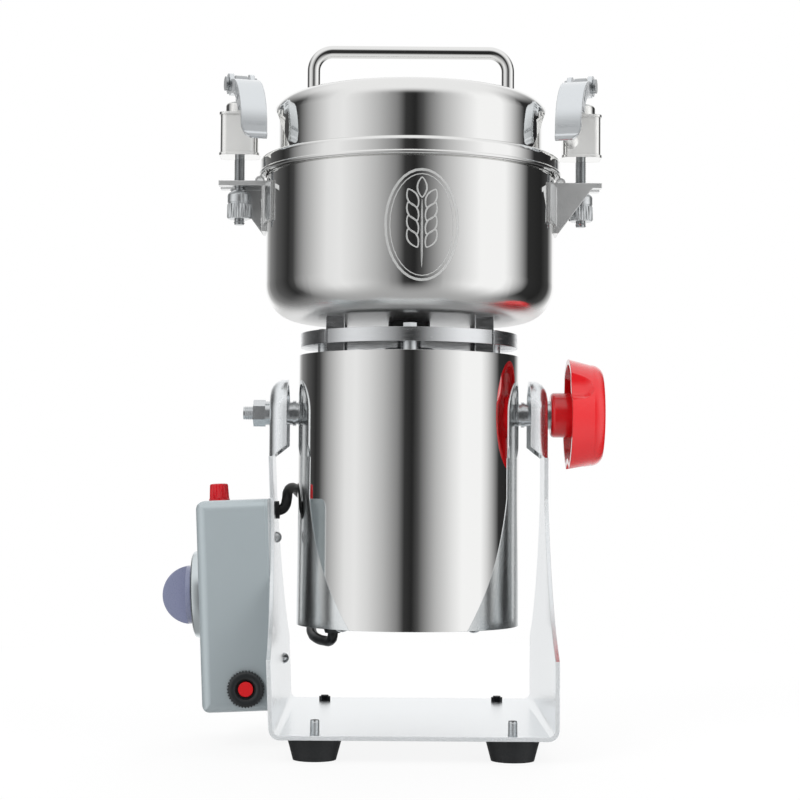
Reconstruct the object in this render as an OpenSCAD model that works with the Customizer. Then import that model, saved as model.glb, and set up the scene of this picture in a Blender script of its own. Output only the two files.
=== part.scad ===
// Electric swing grain mill: a bowl and motor that tip forward in a bent sheet-steel stand.
// Front is -Y. The origin is on the table, under the centre of the whole mill's box.

/* [Stand] */
// Height of each rubber foot
foot_h = 13; // [10:1:16]
// Diameter of a foot under the plate
foot_top_d = 32; // [28:1:34]
// Diameter of a foot on the table
foot_bottom_d = 25; // [22:1:27]
// Distance from an arm's face to the centre of the feet on its side
foot_inset = 29; // [28:0.5:34]
// Distance between front and rear feet
foot_span_y = 168; // [140:2:172]
// Thickness of the stand's sheet steel
sheet_t = 2.5; // [2:0.25:3]
// Depth of the base plate, front to back
stand_depth = 205; // [203:1:216]
// Gap between the motor and each ear
ear_gap = 14.75; // [14.75:0.25:18]
// Inner radius of the folds between plate and arms
fold_r = 4; // [3:0.5:5]
// Lean of the left arm, which carries the control box, in degrees
arm_lean = 2.5; // [0:0.5:3]
// Height of the tilt axis above the table
pivot_h = 202.3; // [200:0.5:206]
// Radius of the ears about the tilt axis
ear_r = 21; // [19:0.5:22]
// Depth of the ears' dished rim
ear_dish = 11; // [10.5:0.5:12]
// Rounding of the ears' dished rim
ear_edge_r = 9; // [7:0.5:10]
// Length of the straight neck below the tilt axis
ear_drop = 27; // [22:1:28]
// Height above the table at which the arms begin to flare out to the plate's depth
flare_h = 150; // [120:2:170]
// Height above the table below which the arms have the plate's full depth
flare_foot_h = 58; // [45:1:70]
// How far the curve of the flare dips inside its straight line
flare_sag = 13; // [6:1:16]

/* [Motor] */
// Outer diameter of the motor housing
motor_d = 137.5; // [134:0.5:138]
// Wall of the motor housing
motor_wall = 1.5; // [1:0.25:2]
// Length of the motor housing
motor_len = 166; // [164:1:174]
// Distance from the tilt axis down to the housing's lower edge
motor_drop = 130.4; // [129:0.2:134]
// Diameter of the motor shaft
shaft_d = 15; // [12:1:16]
// Outer diameter of the ball bearings
bearing_d = 35; // [32:1:38]
// Height of a ball bearing
bearing_h = 11; // [9:1:12]
// Outer diameter of the armature
armature_d = 60; // [54:1:64]
// Height of the stator and armature iron
core_h = 60; // [50:1:64]
// Diameter of the commutator
commutator_d = 34; // [30:1:38]
// Gap between the cooling fan and the housing
fan_gap = 9.25; // [5:0.25:16]

/* [Flange and legs] */
// How far the aluminium flange disc stands back from the motor's side
flange_inset = 1.25; // [0.5:0.25:4]
// Thickness of the flange disc
flange_t = 8.5; // [6:0.5:10]
// Gap between the motor and the flange disc
flange_gap = 5.2; // [4:0.2:6]
// Side of a square leg
leg_side = 11; // [9:0.5:11]
// Height of the legs between motor and bowl
leg_h = 22.1; // [20:0.1:26]

/* [Bowl and lid] */
// Outer diameter of the bowl
bowl_d = 180; // [177:1:181]
// Height of the bowl
bowl_h = 97; // [94:1:104]
// Wall of the bowl and lid
bowl_wall = 1.5; // [1:0.25:2]
// Outer radius between the bowl's floor and wall
bowl_corner_r = 22; // [16:1:24]
// Gap between the bowl and the lid's skirt, which goes over it
skirt_gap = 2.5; // [1:0.25:3]
// Height of the lid's skirt
skirt_h = 11; // [9:0.5:12]
// How far the skirt reaches down over the bowl
skirt_lap = 7; // [5:0.5:8]
// How far the lid's side stands back from the skirt
lid_step = 7.5; // [6:0.5:10]
// Height of the lid above the skirt
lid_h = 37.5; // [35:0.5:42]
// Outer radius of the lid's shoulder
lid_shoulder_r = 13; // [10:1:15]
// Depth of the lid's two side recesses
recess_depth = 4; // [3:0.5:5]
// Diameter of the handle's rod
handle_rod_d = 8; // [7:0.5:10]
// Distance from the lid's side to the centre of a handle leg
handle_inset = 25.5; // [24:0.5:36]
// Height of the handle above the lid
handle_h = 35.5; // [32:0.5:42]
// Radius of the handle's bends, to the rod's centre
handle_bend_r = 12; // [10:1:16]

/* [Blades] */
// Gap between the blades' tips and the bowl
blade_gap = 13.5; // [8:0.5:20]
// Width of a blade
blade_w = 22; // [18:1:26]
// Thickness of a blade
blade_t = 3; // [2:0.25:4]

/* [Latches] */
// Gap between a latch housing and the lid's skirt
latch_gap = 0.5; // [0.5:0.1:1.5]
// Diameter of a latch rod
rod_d = 6; // [5:0.25:6]
// Width of a latch housing
latch_w = 25; // [22:0.5:25]
// Depth of a latch housing
latch_depth = 20; // [16:0.5:22]
// Height of a latch housing
latch_h = 27; // [22:0.5:28]
// Diameter of the knurled nut
nut_d = 15.5; // [14:0.25:15.5]
// Height of the knurled nut
nut_h = 19; // [17:0.5:21]
// Width of a cam lever
lever_w = 16; // [14:0.5:16]
// Radius of the cam lever's curved band
lever_r = 35; // [33:0.5:37]
// Thickness of the cam lever's band
lever_t = 2.5; // [2:0.25:3]
// Angle by which a lever points in towards the lid, in degrees
lever_turn = 16; // [8:1:16]

/* [Handwheel] */
// Diameter of the red handwheel
wheel_d = 70; // [60:1:74]
// Depth of the handwheel's cup
wheel_depth = 22; // [20:0.5:30]
// Diameter of the handwheel's hub
hub_d = 28; // [24:0.5:32]
// Diameter of the pivot studs
stud_d = 8; // [6:0.5:10]

/* [Control box] */
// Distance from the arm to the box's outer panel
box_w = 42; // [38:1:48]
// Depth of the box, front to back
box_depth = 88; // [80:1:96]
// Height of the box
box_h = 127; // [118:1:130]
// Distance from the top of the leaning arm down to the box
box_drop = 26; // [24:1:30]
// Rounding of the box's edges
box_edge_r = 6; // [4:0.5:8]
// Wall of the box
box_wall = 1.5; // [1:0.25:2]
// Diameter of the timer's dial plate
dial_d = 54; // [48:1:60]
// Diameter of the timer knob
knob_d = 36; // [30:1:40]
// How far the timer knob stands out
knob_h = 18.5; // [16:0.5:26]
// Diameter of the pilot lamp at its base
lamp_d = 13; // [10:0.5:16]
// Height of the pilot lamp
lamp_h = 10.5; // [7:0.5:12]
// Diameter of the breaker's knurled collar
collar_d = 22.6; // [20:0.2:25]
// Diameter of the breaker's button
button_d = 9; // [7:0.5:10]
// Radius of the mains cable that the gland takes
cable_r = 3.75; // [3:0.25:4]

/* [Hidden] */
$fn = 96;
// Fits and gaps
cut = 1;
pin_gap = 0.07;
part_gap = 0.3;
seat_gap = 0.15;
// Widths of the stand
ear_span = motor_d + 2 * ear_gap + 2 * sheet_t;
foot_span_x = ear_span - 2 * foot_inset;
// Heights of the stand
plate_top = foot_h + sheet_t;
fold_outer_r = fold_r + sheet_t;
neck_z = pivot_h - ear_drop;
arm_foot = (neck_z - foot_h - fold_outer_r + fold_outer_r * sin(arm_lean)) / cos(arm_lean);
left_fold_x = -ear_span / 2 + fold_outer_r * cos(arm_lean) + arm_foot * sin(arm_lean);
right_fold_x = ear_span / 2 - fold_outer_r;
foot_centre_x = (left_fold_x + right_fold_x) / 2;
// Feet and their screws
foot_screw_r = 2.5;
foot_head_r = 4.5;
foot_head_h = 3;
foot_recess_h = 5;
foot_nut_r = 3.7;
foot_nut_h = 2.8;
foot_thread_h = 0.8;
front_thread_h = 7;
// Half width of the arms' straps below the ears, and the curve of their flare
strap_step = 3;
web_half = ear_r - ear_edge_r;
rim_share = 0.74;
rim_end = rim_share * ear_drop;
strap_half = ear_r - strap_step;
flare_run = stand_depth / 2 - strap_half;
flare_rise = flare_h - flare_foot_h;
flare_chord = sqrt(flare_run * flare_run + flare_rise * flare_rise);
flare_r = (flare_chord * flare_chord / 4 + flare_sag * flare_sag) / (2 * flare_sag);
flare_reach = (flare_r - flare_sag) / flare_chord;
flare_y = strap_half + flare_run / 2 + flare_reach * flare_rise;
flare_z = flare_foot_h + flare_rise / 2 + flare_reach * flare_run;
// Heights of the motor
motor_r = motor_d / 2;
motor_in_r = motor_r - motor_wall;
fan_d = 2 * motor_in_r - 2 * fan_gap;
motor_bottom = pivot_h - motor_drop;
motor_top = motor_bottom + motor_len;
base_cover_t = 2.5;
vents = 12;
vent_r = 3;
vent_inset = 35.25;
vent_circle_r = motor_in_r - vent_inset;
carrier_t = 6;
carrier_wall = 4;
carrier_boss_r = bearing_d / 2 + carrier_wall;
carrier_lift = 1.5;
cast_recess_r = 9;
cast_recess_in = 16;
race_t = 3;
bearing_recess = 1;
bearing_lift = 0.5;
lower_bearing_z = motor_bottom + base_cover_t + carrier_lift;
upper_carrier_t = 12;
upper_bearing_z = motor_top - upper_carrier_t + bearing_lift;
fan_clear = 3;
fan_z = lower_bearing_z + bearing_h + fan_clear;
fan_h = 10;
fan_hub_r = 14;
fan_blade_t = 2;
fan_blades = 9;
winding_over = 12;
coil_clear = 4;
coil_end_h = 10;
winding_step = 3;
commutator_clear = 1;
core_z = fan_z + fan_h + winding_over + coil_clear;
core_top = core_z + core_h;
air_gap = 0.7;
winding_r = armature_d / 2 - winding_step;
commutator_z = core_top + winding_over + commutator_clear;
commutator_h = 20;
coil_inset = 13.25;
coil_r = motor_in_r - coil_inset;
coil_in_r = armature_d / 2 + coil_clear;
coil_angle = 62;
coil_end_angle = 70;
brush_w = 9;
brush_l = 22;
brush_wall = 2;
brush_spring_l = 6;
brush_clear = 3;
brush_z = commutator_z + commutator_h / 2;
// Flange, legs and their screws
flange_z = motor_top + flange_gap;
flange_top = flange_z + flange_t;
leg_inset_x = 23.75;
leg_inset_y = 28.75;
leg_x = motor_r - leg_inset_x;
leg_y = motor_r - leg_inset_y;
flange_d = motor_d - 2 * flange_inset;
leg_gap = 0.4;
flange_hole_gap = 2;
screw_r = 2.5;
screw_head_r = 4.6;
screw_head_h = 3.4;
pan_head_h = 2.4;
flange_screw_up = 1;
spacer_r = 5;
flange_screw_inset = 15.25;
flange_screw_r = motor_in_r - flange_screw_inset;
cover_screw_inset = 11.25;
cover_screw_r = motor_in_r - cover_screw_inset;
cover_screw_len = 12;
cover_post_r = 5;
// Bowl and lid
bowl_z = motor_top + leg_h;
bowl_r = bowl_d / 2;
bowl_top = bowl_z + bowl_h;
skirt_z = bowl_top - skirt_lap;
skirt_d = bowl_d + 2 * skirt_gap + 2 * bowl_wall;
lid_d = skirt_d - 2 * lid_step;
skirt_top = skirt_z + skirt_h;
skirt_edge_r = 3;
hem_r = 1.2;
hem_in = 0.6;
lid_r = lid_d / 2;
lid_top = skirt_top + lid_h;
gasket_h = 2.2;
gasket_z = skirt_top - bowl_wall - gasket_h;
recess_bottom_share = 0.543;
recess_top_share = 0.36;
recess_half_bottom = recess_bottom_share * lid_r;
recess_half_top = recess_top_share * lid_r;
recess_top_z = lid_top - lid_shoulder_r / 2;
recess_curve_r = 10;
handle_rod_r = handle_rod_d / 2;
handle_span = lid_d - 2 * handle_inset;
handle_top = lid_top + handle_h - handle_rod_r;
handle_screw_r = 2;
// Seal, blades and hub
seal_wall = 5.5;
seal_lap = 5;
seal_r = shaft_d / 2 + seal_wall;
seal_flange_r = seal_r + seal_lap;
flange_hole_r = seal_r + flange_hole_gap;
seal_flange_t = 2;
seal_h = 8;
hub_clear = 1;
hub_lift = 7;
blade_step = 12;
shaft_step = 2;
shaft_short = 1;
hub_z = bowl_z + bowl_wall + seal_flange_t + hub_clear;
hub_wall = 6.5;
lower_blade_z = hub_z + hub_lift;
upper_blade_z = lower_blade_z + blade_t + blade_step;
blade_nut_z = upper_blade_z + blade_t;
blade_nut_h = 9;
blade_bore_r = shaft_d / 2 - shaft_step;
hub_r = blade_bore_r + hub_wall;
blade_span = bowl_d - 2 * bowl_wall - 2 * blade_gap;
shaft_bottom = lower_bearing_z;
shaft_top = blade_nut_z + blade_nut_h - shaft_short;
// Pivot studs, nuts and spacers
stud_r = stud_d / 2;
boss_wall = 8;
boss_r = stud_r + boss_wall;
boss_l = 17.25;
boss_inner_x = motor_in_r - boss_l;
stud_back = 4;
stud_inner_x = boss_inner_x + stud_back;
ear_in_x = ear_span / 2 - sheet_t;
spacer_wall = 3;
spacer_boss_r = stud_r + spacer_wall;
wide_washer_wall = 4;
wide_washer_r = stud_r + wide_washer_wall;
wide_washer_t = 2;
wide_washer_off = 1.3;
washer_step = 0.7;
narrow_washer_r = wide_washer_r - washer_step;
nut_seat_x = ear_span / 2;
spring_washer_t = 3;
spring_washer_wall = 3.5;
spring_washer_r = stud_r + spring_washer_wall;
pivot_nut_wall = 4.3;
pivot_nut_r = stud_r + pivot_nut_wall;
pivot_nut_t = 7.5;
stud_end = 6.3;
wheel_washer_t = 2.2;
wheel_washer_wall = 5;
wheel_washer_r = stud_r + wheel_washer_wall;
wheel_wall = 3;
wheel_edge_r = 8;
wheel_taper = 3.5;
wheel_dome = 2;
wheel_dome_r = (wheel_d * wheel_d / 4 + wheel_dome * wheel_dome) / (2 * wheel_dome);
hub_neck_l = 11;
hub_edge_r = 2.5;
wheel_stud_in = 3;
wheel_x = nut_seat_x + wheel_washer_t + hub_neck_l;
wheel_end = wheel_x + wheel_depth;
flute_r = 16;
flute_off = 11;
flute_reach = wheel_d / 2 + flute_off;
flute_l = 7;
flutes = 3;
flute_first = 240;
// Latch: bracket, rod, nut, housing and lever
latch_reach = skirt_d / 2 + latch_gap + latch_w / 2;
bracket_half = 11;
bracket_t = 3;
plate_drop = 6.4;
bracket_drop = 28.6;
bracket_out = 12.2;
plate_z = skirt_z - plate_drop;
bracket_foot_z = plate_z - bracket_drop;
bracket_end = latch_reach + bracket_out;
bracket_wall = 2.3;
fork_gap = 0.6;
fork_in = 1.5;
fork_x = latch_reach - rod_d / 2 - fork_in;
gusset_t = 2;
gusset_reach = 15;
rivet_r = 2;
rivet_head_r = 3.4;
rivet_head_t = 1;
rivet_drops = [9, 21];
pad_t = 1.6;
pad_angle = 21;
pad_drop = 24;
lug_r = 3.6;
lug_t = 1.2;
nut_seat_r = 9.5;
nut_top = plate_z - part_gap;
swing_z = nut_top - nut_seat_r;
rod_r = rod_d / 2;
rod_below = 4;
rod_bottom = nut_top - nut_h - rod_below;
latch_lift = 2;
latch_z = skirt_top + latch_lift;
latch_top = latch_z + latch_h;
latch_lip = 0.8;
latch_lip_h = 1.6;
latch_wall = 1.5;
latch_corner_r = 4;
cap_wall = 6;
cap_r = rod_r + cap_wall;
cap_h = 7;
cap_edge_r = 2.5;
hinge_rise = 19;
hinge_z = latch_top + hinge_rise;
eye_r = 5.5;
eye_w = 7;
lever_pin_r = 2.5;
lever_pin_head_r = 4.5;
lever_pin_head_t = 1.6;
ear_bump_r = 6.5;
cheek_t = 3;
cheek_depth = 9;
lever_centre_s = 8;
lever_centre_drop = 34;
lever_start = 86;
lever_end = -8;
lever_corner_r = 9;
lip_r = 2.2;
lever_tip_z = lever_r * sin(lever_end) - lever_centre_drop - lip_r;
cheek_end = 26;
cheek_start = 98;
slot_r = 1.3;
slot_len = 3;
slot_angles = [62, 51, 40];
latch_screw_r = 4.4;
latch_screw_t = 1.8;
latch_screw_x = 7;
latch_screw_h = 9.5;
latch_screw_z = latch_z + latch_screw_h;
// Control box and what it carries, in the frame of the leaning left arm
back_t = 1.5;
box_top = -box_drop;
box_bottom = box_top - box_h;
box_screw_r = 2;
box_screw_head_r = 3.6;
box_screw_head_t = 3.2;
box_nut_r = 4;
box_nut_t = 3;
box_screw_out = 2;
box_screw_shares = [[-0.05, -0.19], [0.34, -0.8]];
box_screws = [for (s = box_screw_shares) [s[0] * box_depth, s[1] * box_h]];
dial_t = 6.5;
dial_share = 0.455;
dial_z = box_top - dial_share * box_h;
knob_gap = 0.8;
knob_base_t = 3;
knob_grip_t = 7;
timer_r = 21;
timer_h = 22;
timer_shaft_r = 3;
lamp_share = 0.78;
lamp_x = -lamp_share * box_w;
lamp_top_share = 0.44;
lamp_top_r = lamp_top_share * lamp_d;
lamp_neck_r = 4;
lamp_body_r = 5.5;
lamp_body_h = 16;
breaker_x = -16.5;
breaker_lift = 14;
breaker_z = box_bottom + breaker_lift;
collar_t = 4;
collar_hole_gap = 1.65;
collar_hole_r = button_d / 2 + collar_hole_gap;
collar_web_t = 1;
button_out = 2.2;
button_stem = 3;
button_travel = 2.5;
breaker_w = 15;
breaker_d = 24;
breaker_neck_wall = 0.5;
breaker_neck_r = button_d / 2 + breaker_neck_wall;
gland_lift = 20;
gland_z = box_bottom + gland_lift;
gland_x = -box_w / 2;
gland_flare = 2;
gland_out = 12;
gland_in = 5;
gland_wall = 2.75;
gland_neck_r = cable_r + gland_wall;
gland_r = gland_neck_r + gland_flare;
grommet_r = 5.5;
grommet_z = box_top - box_wall - grommet_r - part_gap;
grommet_hole_r = 4.4;
grommet_t = 2;
// Motor lead: its route, from the grommet in the left arm to the gland under the motor
lead_r = 3.2;
lead_sides = 10;
lead_entry = [-46, -8];
lead_gland_r = 6.5;
lead_gland_wall = 1.5;
lead_gland_h = 5;
lead_points = [[-86, 0, 141.96], [-78.9, 0, 142.27], [-76.6, 0.8, 144.6], [-75.6, 2.6, 148.8],
    [-75.2, 7, 153.5], [-73, 14, 156], [-69, 24.5, 153], [-64, 36, 146], [-59, 45, 134],
    [-56, 50, 118], [-55, 52, 102], [-56, 51, 88], [-59, 46, 76], [-61, 41, 68], [-60, 30, 62],
    [-56.5, 17, 59], [-51.5, 5, 58], [-47.5, -4, 58.5], [-46, -8, 61.5], [-46, -8, 66]];
// The whole box runs from the timer knob to the handwheel, and its centre is the origin
knob_local_x = -back_t - box_w - dial_t - knob_gap - knob_h;
knob_reach_x = -ear_span / 2 + knob_local_x * cos(arm_lean) - dial_z * sin(arm_lean);
axis_x = -(knob_reach_x + wheel_end) / 2;

// Places
module at_axis() { translate([axis_x, 0, 0]) children(); }
module at_pivot() { at_axis() translate([0, 0, pivot_h]) children(); }
// The leaning arm's frame: x is 0 on the arm's outer face, z is 0 at the top of the lean
module at_box() {
    at_axis() translate([-ear_span / 2, 0, neck_z]) rotate([0, -arm_lean, 0]) children();
}
module along_x(length, r) { rotate([0, 90, 0]) cylinder(length, r = r); }
module along_y(length, r) { rotate([-90, 0, 0]) cylinder(length, r = r); }
module tube(height, r, hole_r) {
    difference() {
        cylinder(height, r = r);
        translate([0, 0, -cut]) cylinder(height + 2 * cut, r = hole_r);
    }
}
module tube_x(length, r, hole_r) { rotate([0, 90, 0]) tube(length, r, hole_r); }
// A rectangle with round corners, centred
module round_rect(w, h, r) {
    square([w - 2 * r, h], center = true);
    square([w, h - 2 * r], center = true);
    for (x = [-1, 1], y = [-1, 1])
        translate([x * (w / 2 - r), y * (h / 2 - r)]) circle(r);
}
// A hexagonal nut, standing on z = 0
module hex_nut(r, height, hole_r) {
    difference() {
        cylinder(height, r = r, $fn = 6);
        translate([0, 0, -cut]) cylinder(height + 2 * cut, r = hole_r);
    }
}
module pan_head(r, height) {
    ball_r = (r * r + height * height) / (2 * height);
    intersection() {
        cylinder(height, r = r);
        translate([0, 0, height - ball_r]) sphere(ball_r);
    }
}

// Stand
module stand_profile() {
    // base plate between the two folds
    translate([left_fold_x, foot_h]) square([right_fold_x - left_fold_x, sheet_t]);
    // right arm and its fold
    translate([ear_span / 2 - sheet_t, foot_h + fold_outer_r])
        square([sheet_t, pivot_h + ear_r - foot_h - fold_outer_r]);
    translate([right_fold_x, foot_h + fold_outer_r]) difference() {
        circle(fold_outer_r);
        circle(fold_r);
        translate([-2 * fold_outer_r, -2 * fold_outer_r])
            square([2 * fold_outer_r, 4 * fold_outer_r]);
        translate([-2 * fold_outer_r, 0]) square([4 * fold_outer_r, 2 * fold_outer_r]);
    }
    // left arm: upright at the ear, leaning below it
    translate([-ear_span / 2, neck_z]) square([sheet_t, ear_drop + ear_r]);
    translate([-ear_span / 2, neck_z]) rotate(arm_lean) translate([0, -arm_foot])
        square([sheet_t, arm_foot]);
    translate([left_fold_x, foot_h + fold_outer_r]) intersection() {
        difference() {
            circle(fold_outer_r);
            circle(fold_r);
        }
        polygon([[0, 0], 2 * fold_outer_r * [-cos(arm_lean), -sin(arm_lean)],
            2 * fold_outer_r * [-1, -1], 2 * fold_outer_r * [0, -1]]);
    }
}
module stand_side() {
    // narrow web inside the ear's rim, then the strap and its flare to the plate
    translate([-web_half, neck_z - cut]) square([2 * web_half, ear_drop + cut]);
    translate([0, pivot_h]) circle(web_half);
    translate([-strap_half, flare_foot_h]) square([2 * strap_half, neck_z - flare_foot_h]);
    difference() {
        translate([-stand_depth / 2, 0]) square([stand_depth, flare_h + cut]);
        for (side = [0, 1]) mirror([side, 0]) translate([flare_y, flare_z]) circle(flare_r);
    }
}
// Half of the ears' dished section: across from the middle, and out from the rim's edge
module dish_half(half, depth, corner) {
    intersection() {
        square([half, depth]);
        union() {
            square([half - corner, depth]);
            square([half, depth - corner]);
            translate([half - corner, depth - corner]) circle(corner);
        }
    }
}
// The dish about the tilt axis and down the neck, drawn towards +Z before it is turned
module dish(half, depth, corner) {
    rotate_extrude() dish_half(half, depth, corner);
    rotate([90, 0, 0]) linear_extrude(ear_drop) for (side = [0, 1])
        mirror([side, 0]) dish_half(half, depth, corner);
}
module ear_rim(side) {
    at_pivot() scale_side(side) difference() {
        intersection() {
            translate([ear_span / 2 - ear_dish, 0, 0]) rotate([90, 0, 90])
                dish(ear_r, ear_dish, ear_edge_r);
            rotate([90, 0, 0]) translate([0, 0, -ear_r - cut]) linear_extrude(2 * ear_r + 2 * cut)
                polygon([[ear_span / 2 + cut, -ear_drop], [ear_span / 2 + cut, ear_r + cut],
                    [ear_span / 2 - ear_dish, ear_r + cut], [ear_span / 2 - ear_dish, -rim_end],
                    [ear_in_x, -ear_drop]]);
        }
        translate([ear_span / 2 - ear_dish - sheet_t, 0, 0]) rotate([90, 0, 90])
            dish(ear_r - sheet_t, ear_dish, ear_edge_r - sheet_t);
    }
}
module scale_side(side) { if (side < 0) mirror([1, 0, 0]) children(); else children(); }
module u_frame() {
    color("#d9dcde") difference() {
        union() {
            at_axis() intersection() {
                rotate([90, 0, 0]) linear_extrude(stand_depth, center = true) stand_profile();
                rotate([90, 0, 90]) linear_extrude(ear_span + 2 * cut, center = true) stand_side();
            }
            for (side = [-1, 1]) ear_rim(side);
        }
        at_pivot() translate([-ear_span, 0, 0]) along_x(2 * ear_span, stud_r + pin_gap);
        each_foot() translate([0, 0, foot_h - cut])
            cylinder(sheet_t + 2 * cut, r = foot_screw_r + pin_gap);
        at_box() box_holes();
    }
}
// Holes through the leaning arm and the box's back plate
module box_holes() {
    depth = back_t + sheet_t + 2 * cut;
    for (p = box_screws) translate([-back_t - cut, p[0], box_top + p[1]])
        along_x(depth, box_screw_r + pin_gap);
    translate([-back_t - cut, 0, grommet_z]) along_x(depth, grommet_hole_r + pin_gap);
}
module each_foot() {
    at_axis() for (x = [-1, 1], y = [-1, 1])
        translate([foot_centre_x + x * foot_span_x / 2, y * foot_span_y / 2, 0]) children();
}
module rubber_feet() {
    color("#1f2224") each_foot() difference() {
        cylinder(foot_h, r1 = foot_bottom_d / 2, r2 = foot_top_d / 2);
        translate([0, 0, -cut]) cylinder(foot_recess_h + cut, r = foot_head_r + part_gap);
        cylinder(foot_h + cut, r = foot_screw_r + pin_gap);
    }
}
module foot_fasteners() {
    color("#6f7377") each_foot() {
        translate([0, 0, foot_recess_h - foot_head_h]) cylinder(foot_head_h, r = foot_head_r);
    }
    shank = plate_top - foot_recess_h + foot_head_h;
    // the rear screws end in flat nuts, the front ones stand up bare from their threads in the plate
    color("#6f7377") at_axis() for (x = [-1, 1], y = [-1, 1])
        translate([foot_centre_x + x * foot_span_x / 2, y * foot_span_y / 2, 0]) {
            rise = y < 0 ? front_thread_h : foot_nut_h + foot_thread_h;
            translate([0, 0, foot_recess_h - foot_head_h]) cylinder(shank + rise, r = foot_screw_r);
            if (y > 0) translate([0, 0, plate_top])
                hex_nut(foot_nut_r, foot_nut_h, foot_screw_r + pin_gap);
        }
}

// Control box
module box_form(inset, overrun) {
    w = box_w + box_edge_r;
    centre_x = -back_t - box_w + w / 2;
    r = box_edge_r - inset;
    intersection() {
        translate([-back_t - box_w, -box_depth, box_bottom])
            cube([box_w + overrun, 2 * box_depth, box_h]);
        rotate([90, 0, 0]) linear_extrude(2 * box_depth, center = true)
            translate([centre_x, box_top - box_h / 2]) round_rect(w - 2 * inset, box_h - 2 * inset, r);
        translate([0, 0, box_bottom - cut]) linear_extrude(box_h + 2 * cut)
            translate([centre_x, 0]) round_rect(w - 2 * inset, box_depth - 2 * inset, r);
        rotate([90, 0, 90]) linear_extrude(4 * box_w, center = true)
            translate([0, box_top - box_h / 2]) round_rect(box_depth - 2 * inset, box_h - 2 * inset, r);
    }
}
module control_box() {
    color("#8f989b") at_box() difference() {
        box_form(0, 0);
        box_form(box_wall, cut);
        translate([-2 * box_w, 0, dial_z]) along_x(2 * box_w - back_t - cut, timer_shaft_r + part_gap);
        translate([lamp_x, 0, box_top - box_h / 2]) cylinder(box_h, r = lamp_neck_r + part_gap);
        translate([breaker_x, -box_depth, breaker_z]) along_y(box_depth, breaker_neck_r + part_gap);
        translate([gland_x, 0, gland_z]) along_y(box_depth, gland_neck_r + pin_gap);
    }
}
module control_box_back() {
    color("#7d8588") at_box() difference() {
        translate([-back_t, 0, box_top - box_h / 2]) rotate([90, 0, 90])
            linear_extrude(back_t) round_rect(box_depth, box_h, box_edge_r);
        box_holes();
    }
}
module box_fasteners() {
    color("#5b5f62") at_box() for (p = box_screws) translate([0, p[0], box_top + p[1]]) {
        translate([-back_t - box_nut_t - box_screw_out, 0, 0])
            along_x(back_t + box_nut_t + box_screw_out + sheet_t + box_screw_head_t / 2, box_screw_r);
        translate([sheet_t, 0, 0]) rotate([0, 90, 0]) pan_head(box_screw_head_r, box_screw_head_t);
        translate([-back_t - box_nut_t, 0, 0]) rotate([0, 90, 0])
            hex_nut(box_nut_r, box_nut_t, box_screw_r + pin_gap);
    }
}
module timer_dial() {
    color("#9fb4b4") at_box() translate([-back_t - box_w - dial_t, 0, dial_z])
        tube_x(dial_t, dial_d / 2, timer_shaft_r + part_gap);
}
module timer_body() {
    color("#3a3d40") at_box() translate([-back_t - box_w + box_wall, 0, dial_z])
        tube_x(timer_h, timer_r, timer_shaft_r + pin_gap);
}
module timer_knob() {
    color("#7d829c") at_box() translate([-back_t - box_w - dial_t - knob_gap, 0, dial_z]) {
        translate([-knob_base_t, 0, 0]) along_x(knob_base_t, knob_d / 2);
        // grip: half of a disc on edge
        translate([-knob_base_t, 0, 0]) rotate([90, 0, 0])
            linear_extrude(knob_grip_t, center = true) difference() {
                grip_outline(knob_h - knob_base_t, knob_d / 2);
                translate([0, -knob_d]) square([knob_d, 2 * knob_d]);
            }
        along_x(knob_gap + dial_t + box_wall + timer_h / 2, timer_shaft_r);
    }
}
// A round outline of one radius that reaches a set distance sideways
module grip_outline(reach, r) {
    translate([-reach + r, 0]) circle(r);
    translate([-reach + r, -r]) square([r, 2 * r]);
}
module lamp_lens() {
    color("#d8202a") at_box() translate([lamp_x, 0, box_top])
        cylinder(lamp_h, r1 = lamp_d / 2, r2 = lamp_top_r);
}
module lamp_body() {
    color("#2b2d2f") at_box() translate([lamp_x, 0, box_top]) {
        translate([0, 0, -box_wall]) cylinder(box_wall, r = lamp_neck_r);
        translate([0, 0, -box_wall - lamp_body_h]) cylinder(lamp_body_h, r = lamp_body_r);
    }
}
module reset_breaker() {
    color("#2b2d2f") at_box() translate([breaker_x, -box_depth / 2 + box_wall, breaker_z]) difference() {
        translate([-breaker_w / 2, 0, -breaker_w / 2]) cube([breaker_w, breaker_d, breaker_w]);
        translate([0, -cut, 0])
            along_y(button_stem + button_travel + cut + part_gap, button_d / 2 + pin_gap);
    }
}
module reset_collar() {
    color("#26292b") at_box() translate([breaker_x, -box_depth / 2 - collar_t, breaker_z]) {
        rotate([-90, 0, 0]) tube(collar_t, collar_d / 2, collar_hole_r);
        translate([0, collar_t - collar_web_t, 0]) rotate([-90, 0, 0]) {
            tube(collar_web_t + box_wall, breaker_neck_r, button_d / 2 + pin_gap);
            tube(collar_web_t, collar_hole_r, button_d / 2 + pin_gap);
        }
    }
}
module reset_button() {
    color("#e8291f") at_box() translate([breaker_x, -box_depth / 2 - button_out, breaker_z])
        along_y(button_out + box_wall + button_stem, button_d / 2);
}
module mains_gland() {
    color("#26292b") at_box() translate([gland_x, box_depth / 2, gland_z]) rotate([-90, 0, 0])
        difference() {
            union() {
                cylinder(gland_out, r1 = gland_r, r2 = gland_neck_r);
                translate([0, 0, -box_wall]) cylinder(box_wall, r = gland_neck_r);
                translate([0, 0, -box_wall - gland_in]) cylinder(gland_in, r = gland_r);
            }
            translate([0, 0, -box_wall - gland_in - cut])
                cylinder(gland_in + gland_out + box_wall + 2 * cut, r = cable_r);
        }
}
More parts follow.
